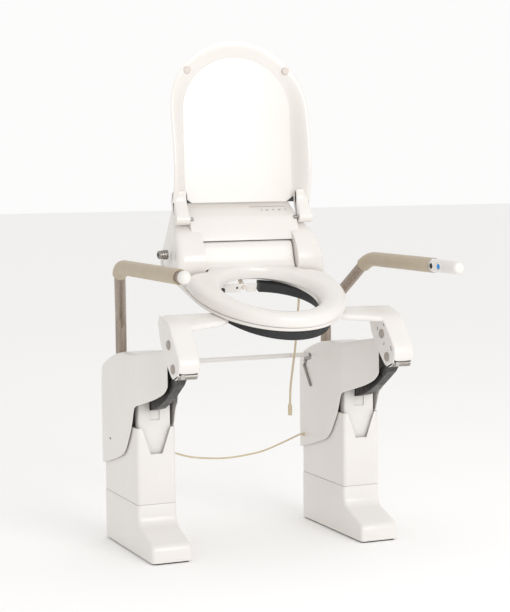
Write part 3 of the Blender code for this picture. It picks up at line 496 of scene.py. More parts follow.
# The arms of the seat frame: each is a smooth ABS moulding that comes out sideways from
# under the seat, turns forwards over the tower and rolls down over its front. Two flat
# cheeks close its sides, and turn on the pivot and link bolts.
pivot = sum(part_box("pivot_bolt_left"), Vector()) / 2
TILT = radians(18)
SEAT = Matrix.Translation((0, pivot.y, pivot.z)) @ Matrix.Rotation(TILT, 4, "X")
LINK_BOLT = (-0.0456, -0.0457)
ARM_HALF = 0.0290
BAND = [((0.0857, 0.0478), (0.0857, 0.0300)), ((0.0560, 0.0486), (0.0560, 0.0300)),
        ((0.0270, 0.0496), (0.0280, 0.0300)), ((0.0080, 0.0470), (0.0020, 0.0290)),
        ((-0.0161, 0.0320), (-0.0210, 0.0130)), ((-0.0450, 0.0135), (-0.0480, -0.0040)),
        ((-0.0700, -0.0005), (-0.0640, -0.0150)), ((-0.0835, -0.0150), (-0.0690, -0.0230)),
        ((-0.0868, -0.0300), (-0.0720, -0.0330)), ((-0.0850, -0.0455), (-0.0720, -0.0430))]
CHEEK = [(0.0857, 0.0440), (0.0135, 0.0450), (-0.0161, 0.0225), (-0.0720, -0.0080), (-0.0795, -0.0180),
         (-0.0820, -0.0418), (-0.0780, -0.0580), (-0.0620, -0.0700), (-0.0480, -0.0725), (-0.0340, -0.0680),
         (0.0100, -0.0480), (0.0560, -0.0180), (0.0857, 0.0200)]

cap_nylon, tree, shader, here = finish("grey_nylon_cap", {"Roughness": 0.45, "IOR": 1.53})
fleck = add(tree, "ShaderNodeTexNoise", {"Scale": 160, "Detail": 2}, {"Vector": here})        # 6 mm
tint = add(tree, "ShaderNodeMix", {"data_type": "RGBA", 6: linear("968D84"), 7: linear("ADA59C")},
           {0: fleck.outputs["Fac"]})
tree.links.new(tint.outputs[2], shader.inputs["Base Color"])

for side, tag in ((-1, "left"), (1, "right")):
    x = side * TOWER
    rows = []
    for (y0, z0), (y1, z1) in BAND:
        top, low, half = Vector((0, y0, z0)), Vector((0, y1, z1)), Vector((ARM_HALF, 0, 0))
        rim = (low - top) * 0.32
        edge = Vector((0.0085, 0, 0))
        row = [low + rim * 0 - half + Vector((0.001, 0, 0)), top + rim - half, top + rim * 0.25 - half + edge * 0.25,
               top - half + edge, top + half - edge, top + rim * 0.25 + half - edge * 0.25, top + rim + half,
               low + half - Vector((0.001, 0, 0))]
        rows.append([p + Vector((x, 0, 0)) for p in row])
    shape = lofted(rows)
    inner = x - side * ARM_HALF
    web = [f for f in shape.faces if abs(f.calc_center_median().x - inner) < 0.002 and f.calc_center_median().y > 0.004
           and f.calc_center_median().y < 0.085]
    reach = [(-side * 0.012, 1.00), (-side * 0.030, 0.86), (-side * 0.075, 0.80)]
    for step, keep in reach:
        grown = bmesh.ops.extrude_face_region(shape, geom=web)["geom"]
        bmesh.ops.delete(shape, geom=web, context="FACES")
        verts = [v for v in grown if isinstance(v, bmesh.types.BMVert)]
        web = [f for f in grown if isinstance(f, bmesh.types.BMFace)]
        bmesh.ops.translate(shape, verts=verts, vec=(step, 0, 0))
        bmesh.ops.scale(shape, verts=verts, vec=(1, keep, 1), space=Matrix.Translation((0, -0.0857, 0)))
    arm = finished(f"arm_cover_{tag}", shape, abs_shell, "seat_frame", SEAT, sharp=0, levels=3)
    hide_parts(f"arm_{tag}")
    for face, outer in (("inner", -0.0275), ("outer", 0.0275)):
        thick = 0.003 if outer < 0 else -0.003
        shape = prism(CHEEK, "x", x + outer, x + outer + thick)
        round_off(shape, 0.010, lambda a, b: abs(a.x - b.x) > 0.001 and a.z < -0.04, 3)
        cheek = finished(f"arm_cheek_{tag}_{'low' if outer < 0 else 'high'}_x", shape, abs_shell, "seat_frame", SEAT,
                         soften=0.0009, parts=2)
    for name, at in (("pivot_bolt", (0, 0)), ("link_bolt", LINK_BOLT)):
        run = [(-0.0311, 0), (-0.0311, 0.0085), (-0.0306, 0.0108), (-0.0292, 0.0120), (-0.0277, 0.0120),
               (-0.0277, 0.0050), (0.0277, 0.0050), (0.0277, 0.0120), (0.0292, 0.0120), (0.0306, 0.0108),
               (0.0311, 0.0085), (0.0311, 0)]
        bolt = finished(f"{name}_cap_{tag}", turned(run, (x, *at), "x", 40), cap_nylon, "seat_frame", SEAT, sharp=55)
        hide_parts(f"{name}_{tag}")
    stop = turned([(-0.0245, 0), (-0.0245, 0.0074), (-0.0240, 0.0080), (0.0240, 0.0080), (0.0245, 0.0074), (0.0245, 0)],
                  (x, -0.0745, -0.0535), "x", 28)
    finished(f"stop_bar_{tag}", stop, zinc, "seat_frame", SEAT)
    shape = prism([(-0.0840, -0.0450), (-0.0690, -0.0450), (-0.0690, -0.0475), (-0.0815, -0.0475), (-0.0815, -0.0570),
                   (-0.0840, -0.0570)], "x", x - 0.020, x - 0.009)
    finished(f"stop_clip_{tag}", shape, chrome, "seat_frame", SEAT, soften=0.0006, parts=2)
    # Four small black boxes on the inner cheek of the right arm give the dark marks seen there.
    for number, (y, z, lean, size) in enumerate([(-0.004, 0.026, 0.5, (0.009, 0.0022)), (0.026, 0.004, 1.2, (0.010, 0.002)),
                                                 (-0.020, -0.020, 1.6, (0.008, 0.002)), (-0.060, -0.016, 0.9, (0.013, 0.002))]):
        for face in (-1,) if side > 0 else ():
            mark = bmesh.new()
            bmesh.ops.create_cube(mark, size=1)
            bmesh.ops.scale(mark, verts=mark.verts, vec=(0.0012, *size))
            bmesh.ops.bevel(mark, geom=mark.edges[:], offset=0.0004, affect="EDGES", segments=2, profile=0.5, material=-1)
            bmesh.ops.transform(mark, verts=mark.verts, matrix=Matrix.Translation((x + face * 0.0276, y, z))
                                @ Matrix.Rotation(lean, 4, "X"))
            finished(f"cheek_latch_{tag}_{number}_{'a' if face < 0 else 'b'}", mark, black_steel, "seat_frame",
                             SEAT)


# The armrests: a 30 mm stainless tube stands in each shroud, leans out and forwards, and
# carries a sleeve of beige foam that starts in the bend. The tube is brushed along its
# length, which draws dark and light streaks down it.
stainless, tree, shader, here = finish("brushed_stainless_tube", {"Metallic": 1.0, "Roughness": 0.30})
along = add(tree, "ShaderNodeMapping", {"Scale": (420, 420, 4)}, {"Vector": here})            # 2.4 mm streaks, 250 mm long
streak = add(tree, "ShaderNodeTexNoise", {"Scale": 1.0, "Detail": 3}, {"Vector": along.outputs["Vector"]})
tint = add(tree, "ShaderNodeValToRGB", links={"Fac": streak.outputs["Fac"]})
tint.color_ramp.elements[0].position, tint.color_ramp.elements[0].color = 0.30, linear("8E8075")
tint.color_ramp.elements[1].position, tint.color_ramp.elements[1].color = 0.70, linear("B5A89C")
tree.links.new(tint.outputs["Color"], shader.inputs["Base Color"])
dull = add(tree, "ShaderNodeMapRange", {"To Min": 0.24, "To Max": 0.42}, {"Value": streak.outputs["Fac"]})
tree.links.new(dull.outputs["Result"], shader.inputs["Roughness"])

foam, tree, shader, here = finish("beige_foam_sleeve", {"Roughness": 0.78, "IOR": 1.5, "Sheen Weight": 0.15,
                                                        "Sheen Roughness": 0.5})
fade = add(tree, "ShaderNodeTexNoise", {"Scale": 26, "Detail": 3}, {"Vector": here})          # 38 mm, handled patches
tint = add(tree, "ShaderNodeMix", {"data_type": "RGBA", 6: linear("B3A48D"), 7: linear("BFB29D")},
           {0: fade.outputs["Fac"]})
tree.links.new(tint.outputs[2], shader.inputs["Base Color"])
cell = add(tree, "ShaderNodeTexVoronoi", {"Scale": 420}, {"Vector": here})                    # 2.4 mm, cells drawn coarse
bump = add(tree, "ShaderNodeBump", {"Strength": 0.30, "Distance": 0.0004}, {"Height": cell.outputs["Distance"]})
tree.links.new(bump.outputs["Normal"], shader.inputs["Normal"])

GRIP_Z = 0.7506
for side, tag, front in ((-1, "left", -0.503), (1, "right", -0.429)):
    x, gx = side * POST[0], side * 0.362
    corners = [Vector(p) for p in ((x, POST[1], 0.371), (x, POST[1], 0.598), (gx, -0.060, GRIP_Z), (gx, front, GRIP_Z))]
    line = [corners[0]]
    for before, corner, after in zip(corners, corners[1:], corners[2:]):
        start = corner + (before - corner).normalized() * 0.042
        end = corner + (after - corner).normalized() * 0.042
        line += [(1 - t) ** 2 * start + 2 * t * (1 - t) * corner + t ** 2 * end for t in (n / 14 for n in range(15))]
    line.append(corners[-1])
    rest = tube(f"armrest_{tag}", line, 0.015, stainless, "carriage", 8)
    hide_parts(f"armrest_tube_{tag}")

    sleeve = line[18:-1] + [Vector((gx, y, GRIP_Z)) for y in (-0.11, -0.2, -0.3, front + 0.03, front)]
    rows = []
    for number, point in enumerate(sleeve):
        ahead = (sleeve[min(number + 1, len(sleeve) - 1)] - sleeve[max(number - 1, 0)]).normalized()
        turn = ahead.to_track_quat("Z", "Y").to_matrix().to_4x4()
        for radius in ([0.0152, 0.0178, 0.0195] if number in (0,) else [0.0195]):
            ring = bmesh.new()
            bmesh.ops.create_circle(ring, segments=32, radius=radius)
            push = {0.0152: 0, 0.0178: 0.0006, 0.0195: 0.0030 if number == 0 else 0}[radius]
            rows.append([Matrix.Translation(point) @ turn @ (v.co + Vector((0, 0, push))) for v in ring.verts])
            ring.free()
    for radius, push in ((0.0180, -0.0006), (0.0152, 0.0)):
        rows.append([Vector((gx + (p.x - gx) * radius / 0.0195, front + push, GRIP_Z + (p.z - GRIP_Z) * radius / 0.0195))
                     for p in rows[-1]] if radius == 0.0180 else
                    [Vector((gx + (p.x - gx) * 0.0152 / 0.0180, front, GRIP_Z + (p.z - GRIP_Z) * 0.0152 / 0.0180))
                     for p in rows[-1]])
    shape = lofted(rows, ends=False)
    grip = finished(f"foam_grip_{tag}", shape, foam, "carriage", sharp=60)
    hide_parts(f"grip_{tag}")


# The ends of the armrests: on the left a short bare neck and a round ABS cap, on the right
# the hand control, a white ABS barrel with a black button to raise the seat and a blue one
# to lower it, each in a raised collar.
neck = turned([(-0.5033, 0), (-0.5033, 0.0150), (-0.5075, 0.0150), (-0.5080, 0.0144), (-0.5105, 0.0144),
               (-0.5110, 0.0150), (-0.5150, 0.0150), (-0.5155, 0.0144), (-0.5180, 0.0144), (-0.5230, 0.0140),
               (-0.5240, 0)], (-0.362, 0, GRIP_Z), "y", 40)
neck = finished("left_end_neck", neck, stainless, "carriage", sharp=55)
ball = [(-0.5195, 0)] + [(-0.5330 + 0.0150 * cos(t), 0.0165 * sin(t)) for t in
                         [radians(a) for a in (26, 38, 52, 66, 78, 90, 102, 114, 126, 138, 150, 162, 172)]]
cap = finished("left_end_cap", turned(ball + [(-0.5480, 0)], (-0.362, 0, GRIP_Z), "y", 40), abs_shell, "carriage",
               sharp=0)
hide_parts("end_cap_left")

body = turned([(-0.4293, 0), (-0.4293, 0.0168), (-0.4300, 0.0175), (-0.4360, 0.0175), (-0.4365, 0.0168),
               (-0.4375, 0.0168), (-0.4380, 0.0174), (-0.5060, 0.0170), (-0.5066, 0.0162), (-0.5076, 0.0162),
               (-0.5082, 0.0169), (-0.5200, 0.0168), (-0.5206, 0.0161), (-0.5216, 0.0161), (-0.5222, 0.0167),
               (-0.5340, 0.0166), (-0.5346, 0.0159), (-0.5356, 0.0159), (-0.5362, 0.0165), (-0.5540, 0.0160),
               (-0.5600, 0.0138), (-0.5625, 0.0100), (-0.5630, 0)], (0.362, 0, GRIP_Z), "y", 48)
control = finished("hand_control_barrel", body, abs_shell, "carriage", sharp=40)
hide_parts("hand_control")
collar = turned([(-0.4296, 0.0150), (-0.4296, 0.0188), (-0.4310, 0.0192), (-0.4335, 0.0192), (-0.4345, 0.0184),
                 (-0.4345, 0.0150)], (0.362, 0, GRIP_Z), "y", 48)
finished("hand_control_ring", collar, chrome, "carriage")

button_black, tree, shader, here = finish("black_silicone_button", {"Roughness": 0.42, "IOR": 1.45})
soft = add(tree, "ShaderNodeTexNoise", {"Scale": 300}, {"Vector": here})                      # 3 mm
tint = add(tree, "ShaderNodeMix", {"data_type": "RGBA", 6: linear("1B1C1E"), 7: linear("26272A")},
           {0: soft.outputs["Fac"]})
tree.links.new(tint.outputs[2], shader.inputs["Base Color"])
button_blue, tree, shader, here = finish("blue_silicone_button", {"Roughness": 0.35, "IOR": 1.45})
soft = add(tree, "ShaderNodeTexNoise", {"Scale": 300}, {"Vector": here})
tint = add(tree, "ShaderNodeMix", {"data_type": "RGBA", 6: linear("1A86D0"), 7: linear("2596E0")},
           {0: soft.outputs["Fac"]})
tree.links.new(tint.outputs[2], shader.inputs["Base Color"])
for name, y, material, slot in (("raise_button", -0.447, button_black, "black_button"),
                                ("lower_button", -0.485, button_blue, "blue_button")):
    knob = turned([(-0.0145, 0), (-0.0145, 0.0068), (-0.0186, 0.0068), (-0.0196, 0.0062), (-0.0200, 0.0048),
                   (-0.0198, 0.0030), (-0.0195, 0)], (0.362, y, GRIP_Z), "x", 32)
    knob = finished(f"{name}_cap", knob, material, name, sharp=50)
    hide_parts(name)
    bezel = turned([(-0.0155, 0.0074), (-0.0182, 0.0074), (-0.0186, 0.0080), (-0.0184, 0.0088), (-0.0160, 0.0094),
                    (-0.0140, 0.0096)], (0.362, y, GRIP_Z), "x", 32)
    finished(f"{name}_collar", bezel, abs_shell, "carriage", sharp=60)


# Under the seat a black rubber-covered support ring stiffens the frame, and carries the
# white base plate of the wash seat, a flat polypropylene moulding with a rounded rim.
def oval(count, centre, a, front, rear, z, squareness=1.0):
    """A loop of points: an ellipse in front of its centre, and a squarer one behind it."""
    loop = bmesh.new()
    bmesh.ops.create_circle(loop, segments=count, radius=1)
    points = []
    for v in loop.verts:
        c, s = v.co.x, v.co.y
        if s > 0 and squareness != 1.0:
            c, s = (abs(c) ** squareness) * (1 if c > 0 else -1), abs(s) ** squareness
        points.append((a * c, centre + (rear if s > 0 else front) * s, z))
    loop.free()
    return points


HOLE_Y, HOLE_A, HOLE_B, RING_Y = 0.143, 0.125, 0.150, 0.171
rows = [oval(72, HOLE_Y, 0.157 - i, 0.210 - i, 0.150 - i, z) for i, z in
        ((0.005, 0.0228), (0.0008, 0.0250), (0.0, 0.0380), (0.0, 0.0460), (0.003, 0.0477))]
rows += [oval(72, HOLE_Y, 0.135 + i, 0.165 + i, 0.118 + i, z) for i, z in
         ((0.002, 0.0477), (0.0, 0.0465), (0.0, 0.0270), (0.003, 0.0228))]
around = list(zip(*rows))
first = min(range(72), key=lambda n: abs(around[n][6][0] - 0.022) + (9 if around[n][6][1] < HOLE_Y else 0))
around = around[first:] + around[:first]
turn = 1 if around[1][6][0] > around[0][6][0] else -1
around = [around[turn * n % 72] for n in range(72)]
around = [section for n, section in enumerate(around) if not (section[6][1] > HOLE_Y and -0.080 < section[6][0] < 0.018)]
band = finished("support_band", lofted(around), rubber, "seat_frame", SEAT)
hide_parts("support_ring")

pp, tree, shader, here = finish("moulded_white_pp", {"Roughness": 0.24, "IOR": 1.49, "Coat Weight": 0.25,
                                                     "Coat Roughness": 0.12})
drift = add(tree, "ShaderNodeTexNoise", {"Scale": 8, "Detail": 2}, {"Vector": here})          # 120 mm, flow of the melt
tint = add(tree, "ShaderNodeMix", {"data_type": "RGBA", 6: linear("E2DDD8"), 7: linear("E8E4DF")},
           {0: drift.outputs["Fac"]})
tree.links.new(tint.outputs[2], shader.inputs["Base Color"])
haze = add(tree, "ShaderNodeTexNoise", {"Scale": 30, "Detail": 5}, {"Vector": here})          # 33 mm, wiping marks
sheen = add(tree, "ShaderNodeMapRange", {"To Min": 0.19, "To Max": 0.31}, {"Value": haze.outputs["Fac"]})
tree.links.new(sheen.outputs["Result"], shader.inputs["Roughness"])
bump = add(tree, "ShaderNodeBump", {"Strength": 0.05, "Distance": 0.002}, {"Height": drift.outputs["Fac"]})
tree.links.new(bump.outputs["Normal"], shader.inputs["Normal"])

rows = [oval(96, RING_Y, 0.2055 + w - i, 0.238 - i, 0.299 - i, z, 0.28) for i, z, w in
        ((0.005, 0.0480, 0.008), (0.0012, 0.0488, 0.008), (0.0, 0.0505, 0.008), (0.0, 0.0545, 0.008),
         (0.0010, 0.0570, 0.008), (0.004, 0.0577, 0.008))]
rows = [[(x * (1 if y > 0.30 else 0.963 + 0.037 * max(0, (y - 0.22) / 0.08)), y, z) for x, y, z in row] for row in rows]
rows += [oval(96, HOLE_Y, 0.130 + i, 0.156 + i, 0.150 + i, z) for i, z in
         ((0.003, 0.0577), (0.0, 0.0570), (0.0, 0.0490), (0.002, 0.0480))]
plate = finished("seat_base_plate", lofted(list(zip(*rows)), ends=False, ring=True), pp, "seat_frame", SEAT)
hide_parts("seat_base")
mouth = [(-0.020 + 0.0078 * cos(radians(a)), 0.0345 + 0.0078 * sin(radians(a))) for a in range(0, 181, 15)]
shape = prism([(0.017, 0.0478), (0.017, 0.0240)] + [(-0.0122, 0.0240)] + mouth + [(-0.0278, 0.0240), (-0.079, 0.0240),
              (-0.079, 0.0478)], "y", 0.2625, 0.2665)
bay = finished("nozzle_bay", shape, pp, "seat_frame", SEAT, soften=0.0012, parts=2)
eye = finished("nozzle_bay_sensor", turned([(0, 0), (0, 0.0030), (-0.0010, 0.0028), (-0.0014, 0.0015), (-0.0014, 0)],
                                           (-0.040, 0.2625, 0.037), "y", 20), rubber, "seat_frame", SEAT)


# The seat ring: one heavy, polished polypropylene moulding with a broad level top that
# rolls over at the rim and falls in a long curve into the hole. Its apron rises behind
# it to the hinge, between the shoulders of the wash seat.
rows = [oval(96, RING_Y, 0.208 - i, 0.244 - i, 0.092 - i * 0.6, z, 0.45) for i, z in
        ((0.006, 0.0584), (0.0015, 0.0600), (0.0, 0.0640), (0.0003, 0.0730), (0.0030, 0.0820), (0.0080, 0.0880),
         (0.0160, 0.0912), (0.0300, 0.0920))]
rows = [[(x, y + 0.036 * min(max((0.1295 - abs(x)) / 0.012, 0), 1) * (y > RING_Y), z) for x, y, z in row] for row in rows]
rows += [oval(96, HOLE_Y, HOLE_A + i, HOLE_B + i, 0.126 + i * 0.35, z) for i, z in
         ((0.034, 0.0914), (0.024, 0.0894), (0.014, 0.0850), (0.0065, 0.0780), (0.0020, 0.0700), (0.0, 0.0640),
          (0.0010, 0.0600), (0.0040, 0.0584))]
ring = finished("seat_ring_top", lofted(list(zip(*rows)), ends=False, ring=True), pp, "seat_ring", SEAT, sharp=0,
                levels=1)
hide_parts("seat_ring")
line = [(0.276, 0.0870), (0.281, 0.0925), (0.288, 0.0990), (0.297, 0.1125), (0.308, 0.1300),
        (0.316, 0.1410), (0.322, 0.1455), (0.329, 0.1455), (0.333, 0.1420), (0.333, 0.128)]
rows = [[(x, y - 0.0015 * d, z - 0.0028 * d) for y, z in line] for x, d in
        ((-0.130, 1.6), (-0.1292, 0.6), (-0.1265, 0), (-0.06, 0), (0.0, 0), (0.06, 0), (0.1265, 0), (0.1292, 0.6),
         (0.130, 1.6))]
apron = finished("seat_ring_apron", lofted(rows, closed=False, ends=False), pp, "seat_ring", SEAT, sharp=0, wall=0.003,
                 levels=2)


# The wash seat's housing: a polypropylene cover over the heater and the electronics, with
# a raised middle that carries the lid's hinge and two rounded shoulders beside the apron.
shape = prism([(0.3125, 0.0583), (0.346, 0.112), (0.346, 0.1465), (0.3195, 0.1492), (0.362, 0.200), (0.4205, 0.2205),
               (0.455, 0.224), (0.470, 0.212), (0.470, 0.0583)], "x", -0.1565, 0.1565)
round_off(shape, 0.009, lambda a, b: abs(a.x - b.x) > 0.1 and a.z > 0.19 and a.y < 0.46, 6)
round_off(shape, 0.004, lambda a, b: abs(a.x - b.x) > 0.1 and (a.z > 0.148 and a.y < 0.33 or a.y > 0.465), 4)
round_off(shape, 0.0030, lambda a, b: abs(a.x - b.x) < 1e-4 and max(a.y, b.y) - 0.32 > -0.01
          and min(a.z, b.z) > 0.09, 4)
middle = finished("housing_middle", shape, pp, "seat_frame", SEAT, sharp=50)
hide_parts("bidet_cover")
WING = [(0.2650, 0.0590), (0.2650, 0.100), (0.2700, 0.117), (0.281, 0.133), (0.300, 0.1510), (0.322, 0.1645),
        (0.348, 0.1745), (0.372, 0.1790), (0.400, 0.1895), (0.440, 0.2020), (0.468, 0.2060), (0.4695, 0.190),
        (0.4695, 0.120), (0.4695, 0.0590), (0.40, 0.0590), (0.33, 0.0590)]
for side, tag in ((-1, "left"), (1, "right")):
    rows = []
    for x, pull in ((0.1325, 0.0), (0.1330, 0.0), (0.1350, -0.0), (0.150, 0.0), (0.172, 0.0), (0.186, 0.0015),
                    (0.1965, 0.006), (0.2010, 0.014), (0.2020, 0.024)):
        middle_y, middle_z = 0.380, 0.075
        row = []
        for y, z in WING:
            high = max(0, (z - 0.0590) / 0.147)
            away = Vector((y - middle_y, z - middle_z))
            inward = away.normalized() * pull * (1 if z > 0.07 else 0)
            flare = 0.0170 * (1 - high) if x > 0.18 else 0
            flare -= 0.030 * min(max((y - 0.33) / 0.14, 0), 1) * min(max((x - 0.150) / 0.04, 0), 1)
            row.append((side * (x + flare), y - inward.x, z - inward.y))
        rows.append(row)
    shoulder = finished(f"housing_shoulder_{tag}", lofted(rows), pp, "seat_frame", SEAT, sharp=0, levels=2)


# Small parts of the wash seat: a soft-key strip on the deck, the water inlet with its
# knurled union nut, and the spray nozzle with its round tip under the rear of the hole.
strip, tree, shader, here = finish("satin_grey_keypad", {"Roughness": 0.34, "IOR": 1.5})
fade = add(tree, "ShaderNodeTexNoise", {"Scale": 120}, {"Vector": here})                      # 8 mm
tint = add(tree, "ShaderNodeMix", {"data_type": "RGBA", 6: linear("E1DDD8"), 7: linear("E6E2DD")},
           {0: fade.outputs["Fac"]})
tree.links.new(tint.outputs[2], shader.inputs["Base Color"])
ink, tree, shader, here = finish("grey_key_print", {"Roughness": 0.4})
fade = add(tree, "ShaderNodeTexNoise", {"Scale": 200}, {"Vector": here})
tint = add(tree, "ShaderNodeMix", {"data_type": "RGBA", 6: linear("A8A39E"), 7: linear("B7B2AD")},
           {0: fade.outputs["Fac"]})
tree.links.new(tint.outputs[2], shader.inputs["Base Color"])
slope = atan2(0.2205 - 0.200, 0.4205 - 0.362)
shape = bmesh.new()
bmesh.ops.create_cube(shape, size=1)
bmesh.ops.scale(shape, verts=shape.verts, vec=(0.118, 0.030, 0.0005))
round_off(shape, 0.003, lambda a, b: abs(a.z - b.z) > 0.0003, 4)
bmesh.ops.transform(shape, verts=shape.verts, matrix=Matrix.Translation((0.083, 0.392, 0.2102)) @ Matrix.Rotation(slope, 4, "X"))
keypad = finished("soft_key_strip", shape, strip, "seat_frame", SEAT)
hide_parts("control_panel")
for number, (x, y, wide, deep) in enumerate([(0.083, 0.4010, 0.108, 0.0007), (0.062, 0.388, 0.003, 0.003),
                                             (0.078, 0.388, 0.007, 0.003), (0.096, 0.388, 0.006, 0.003),
                                             (0.114, 0.388, 0.007, 0.003), (0.132, 0.388, 0.003, 0.003)]):
    key = bmesh.new()
    bmesh.ops.create_cube(key, size=1)
    bmesh.ops.scale(key, verts=key.verts, vec=(wide, deep, 0.0012))
    bmesh.ops.bevel(key, geom=key.edges[:], offset=0.0004, affect="EDGES", segments=2, profile=0.5, material=-1)
    bmesh.ops.transform(key, verts=key.verts, matrix=Matrix.Translation((x, y, 0.2024 + (y - 0.362) * sin(slope) / cos(slope)))
                        @ Matrix.Rotation(slope, 4, "X"))
    finished(f"key_mark_{number}", key, ink, "seat_frame", SEAT)

board, tree, shader, here = finish("green_circuit_laminate", {"Roughness": 0.4})
weave = add(tree, "ShaderNodeTexChecker", {"Scale": 400, "Color1": linear("2B6640"), "Color2": linear("33734A")},
            {"Vector": here})                                                                 # 2.5 mm copper pattern
tree.links.new(weave.outputs["Color"], shader.inputs["Base Color"])
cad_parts["control_board"].material_slots[0].material = board

nut = [(-0.2163, 0), (-0.2163, 0.0130), (-0.2200, 0.0130), (-0.2206, 0.0112), (-0.2222, 0.0112), (-0.2228, 0.0130),
       (-0.2264, 0.0130), (-0.2270, 0.0108), (-0.2290, 0.0108), (-0.2296, 0.0118), (-0.2330, 0.0118), (-0.2336, 0.0100),
       (-0.2352, 0.0100), (-0.2358, 0.0112), (-0.2400, 0.0108), (-0.2420, 0.0092), (-0.2420, 0.0060), (-0.2360, 0.0055),
       (-0.2360, 0)]
inlet = finished("water_union", turned(nut, (0, 0.345, 0.106), "x", 40), zinc, "seat_frame", SEAT)
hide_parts("water_inlet")

nozzle_pp, tree, shader, here = finish("ivory_nozzle_pp", {"Roughness": 0.3, "IOR": 1.49})
fade = add(tree, "ShaderNodeTexNoise", {"Scale": 150}, {"Vector": here})
tint = add(tree, "ShaderNodeMix", {"data_type": "RGBA", 6: linear("D9CDBE"), 7: linear("E3D9CC")},
           {0: fade.outputs["Fac"]})
tree.links.new(tint.outputs[2], shader.inputs["Base Color"])
shape = turned([(0, 0), (0.0003, 0.0030), (0.0015, 0.0050), (0.0035, 0.0060), (0.014, 0.0060), (0.0145, 0.0055),
                (0.0155, 0.0055), (0.016, 0.0060), (0.125, 0.0060), (0.125, 0)], (0, 0, 0), "y", 32)
bmesh.ops.transform(shape, verts=shape.verts, matrix=Matrix.Translation((-0.020, 0.262, 0.034))
                    @ Matrix.Rotation(radians(20), 4, "X"))
nozzle = finished("spray_wand", shape, nozzle_pp, "spray_nozzle", SEAT)
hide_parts("spray_nozzle")


# The lid: a deep D-shaped tray moulded in polypropylene, domed at the back. Its rim stands
# high beside the hinge, dies away to the crown, and slopes down to a flat inner panel. Two
# ears at its foot turn on the hinge pins, and two soft buffers meet the seat ring.
LEAN = radians(21)
FOOT = (0.3606 + 0.0426, 0.1985 + 0.0277)
LID = SEAT @ Matrix.Translation((0, *FOOT)) @ Matrix(((1, 0, 0, 0), (0, sin(LEAN), -cos(LEAN), 0),
                                                      (0, cos(LEAN), sin(LEAN), 0), (0, 0, 0, 1)))
HALF, LONG, ARCH, LOW = 0.200, 0.437, 0.190, 0.003
RIM = [(0.450, 0.005), (0.400, 0.007), (0.355, 0.011), (0.290, 0.023), (0.190, 0.038), (0.140, 0.043),
       (0.090, 0.044), (0.050, 0.038), (0.012, 0.025), (-0.010, 0.018)]


def arch_loop(inset, share, rise):
    """The lid's outline: x across, y up the lid, z out of its inner face by a share of the rim and a rise."""
    arc = bmesh.new()
    start = arc.verts.new((HALF - inset, 0, 0))
    bmesh.ops.spin(arc, geom=[start], cent=(0, 0, 0), axis=(0, 0, 1), angle=pi, steps=36)
    bmesh.ops.scale(arc, verts=arc.verts, vec=(1, (ARCH - inset) / (HALF - inset), 1))
    crown = sorted([v.co.copy() for v in arc.verts], key=lambda p: -p.x)
    arc.free()
    side = [LOW, 0.025, 0.050, 0.075, 0.105, 0.140, 0.175, 0.210]
    run = [(HALF - inset, v) for v in side] + [(p.x, p.y + LONG - ARCH) for p in crown]
    run += [(inset - HALF, v) for v in reversed(side)]
    return [(x, v, level(v, RIM) * share + rise) for x, v in run]


profile = [(0.044, 0, 0.0), (0.044, 0, -0.0100), (0.038, 0, -0.0094), (0.031, 0.02, -0.0072), (0.0255, 0.10, -0.0045),
           (0.0195, 0.26, -0.0015), (0.0125, 0.48, 0.0), (0.0055, 0.74, 0.0), (0.0015, 0.89, 0.0), (0.0, 0.95, 0.0),
           (0.0012, 0.99, 0.0), (0.0045, 1.0, 0.0), (0.0085, 0.985, 0.0), (0.0120, 0.93, 0.0), (0.0200, 0.72, 0.0),
           (0.0280, 0.45, 0.0), (0.0350, 0.21, 0.0), (0.0405, 0.05, 0.0003)]
shape = lofted(list(zip(*[arch_loop(*step) for step in profile])))
shell = finished("lid_rim", shape, pp, "lid", LID, sharp=50)
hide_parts("lid")
rows = [arch_loop(0.0465, 0, 0.0014), arch_loop(0.0440, 0, 0.0012), arch_loop(0.0430, 0, 0.0006),
        arch_loop(0.0430, 0, -0.0099), arch_loop(0.070, 0, -0.0122), arch_loop(0.105, 0, -0.0136),
        arch_loop(0.150, 0, -0.0142)]
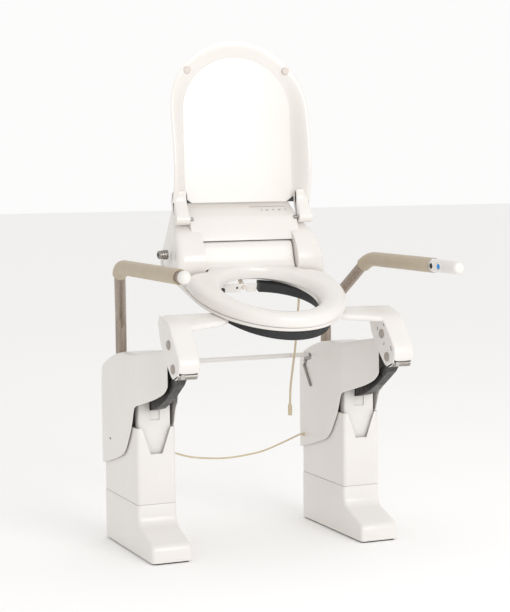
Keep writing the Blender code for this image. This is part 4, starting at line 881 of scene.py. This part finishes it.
plate = finished("lid_plate", lofted(rows), pp, "lid", LID, sharp=50)
# At each lower corner of the inner panel a thin black triangle lies on the lid. It is painted shadow where the panel's
# corner stands off the lid, not a real part.
for side, tag in ((-1, "left"), (1, "right")):
    shape = prism([(side * 0.1385, 0.0022), (side * 0.1585, 0.0022), (side * 0.1585, 0.0165)], "z", 0.0010, 0.0036)
    corner_shadow = finished(f"lid_corner_painted_shadow_{tag}", shape, black_steel, "lid", LID)

buffer_tpe, tree, shader, here = finish("beige_tpe_buffer", {"Roughness": 0.5, "IOR": 1.5})
fade = add(tree, "ShaderNodeTexNoise", {"Scale": 200}, {"Vector": here})                      # 5 mm
tint = add(tree, "ShaderNodeMix", {"data_type": "RGBA", 6: linear("CFC5BC"), 7: linear("DAD1C9")},
           {0: fade.outputs["Fac"]})
tree.links.new(tint.outputs[2], shader.inputs["Base Color"])
for side, tag in ((-1, "left"), (1, "right")):
    bump_stop = turned([(0.001, 0), (0.001, 0.0110), (0.0110, 0.0104), (0.0130, 0.0092), (0.0138, 0.0060), (0.0140, 0)],
                       (side * 0.1435, 0.3565, 0), "z", 32)
    finished(f"lid_buffer_{tag}", bump_stop, buffer_tpe, "lid", LID)
    centre = (0, 0.3606, 0.1985)
    ear = turned([(side * 0.1590, 0.0055), (side * 0.1590, 0.0138), (side * 0.1600, 0.0148), (side * 0.1970, 0.0148),
                  (side * 0.1980, 0.0138), (side * 0.1980, 0)], centre, "x", 40)
    finished(f"lid_ear_{tag}", ear, pp, "lid", SEAT)
    web = prism([(0.3606 + a, 0.1985 + b) for a, b in ((-0.0130, 0.0070), (0.0060, -0.0135), (0.0300, 0.0120),
                                                        (0.0500, 0.0340), (0.0490, 0.0560), (0.0320, 0.0720),
                                                        (0.0262, 0.0480), (0.0140, 0.0330), (0.0000, 0.0220))],
                "x", side * 0.1585, side * 0.1975)
    round_off(web, 0.007, lambda a, b: abs(a.x - b.x) > 0.02, 4)
    round_off(web, 0.0075, lambda a, b: abs(a.x - b.x) < 1e-5, 4)
    finished(f"lid_ear_web_{tag}", web, pp, "lid", SEAT, sharp=0)
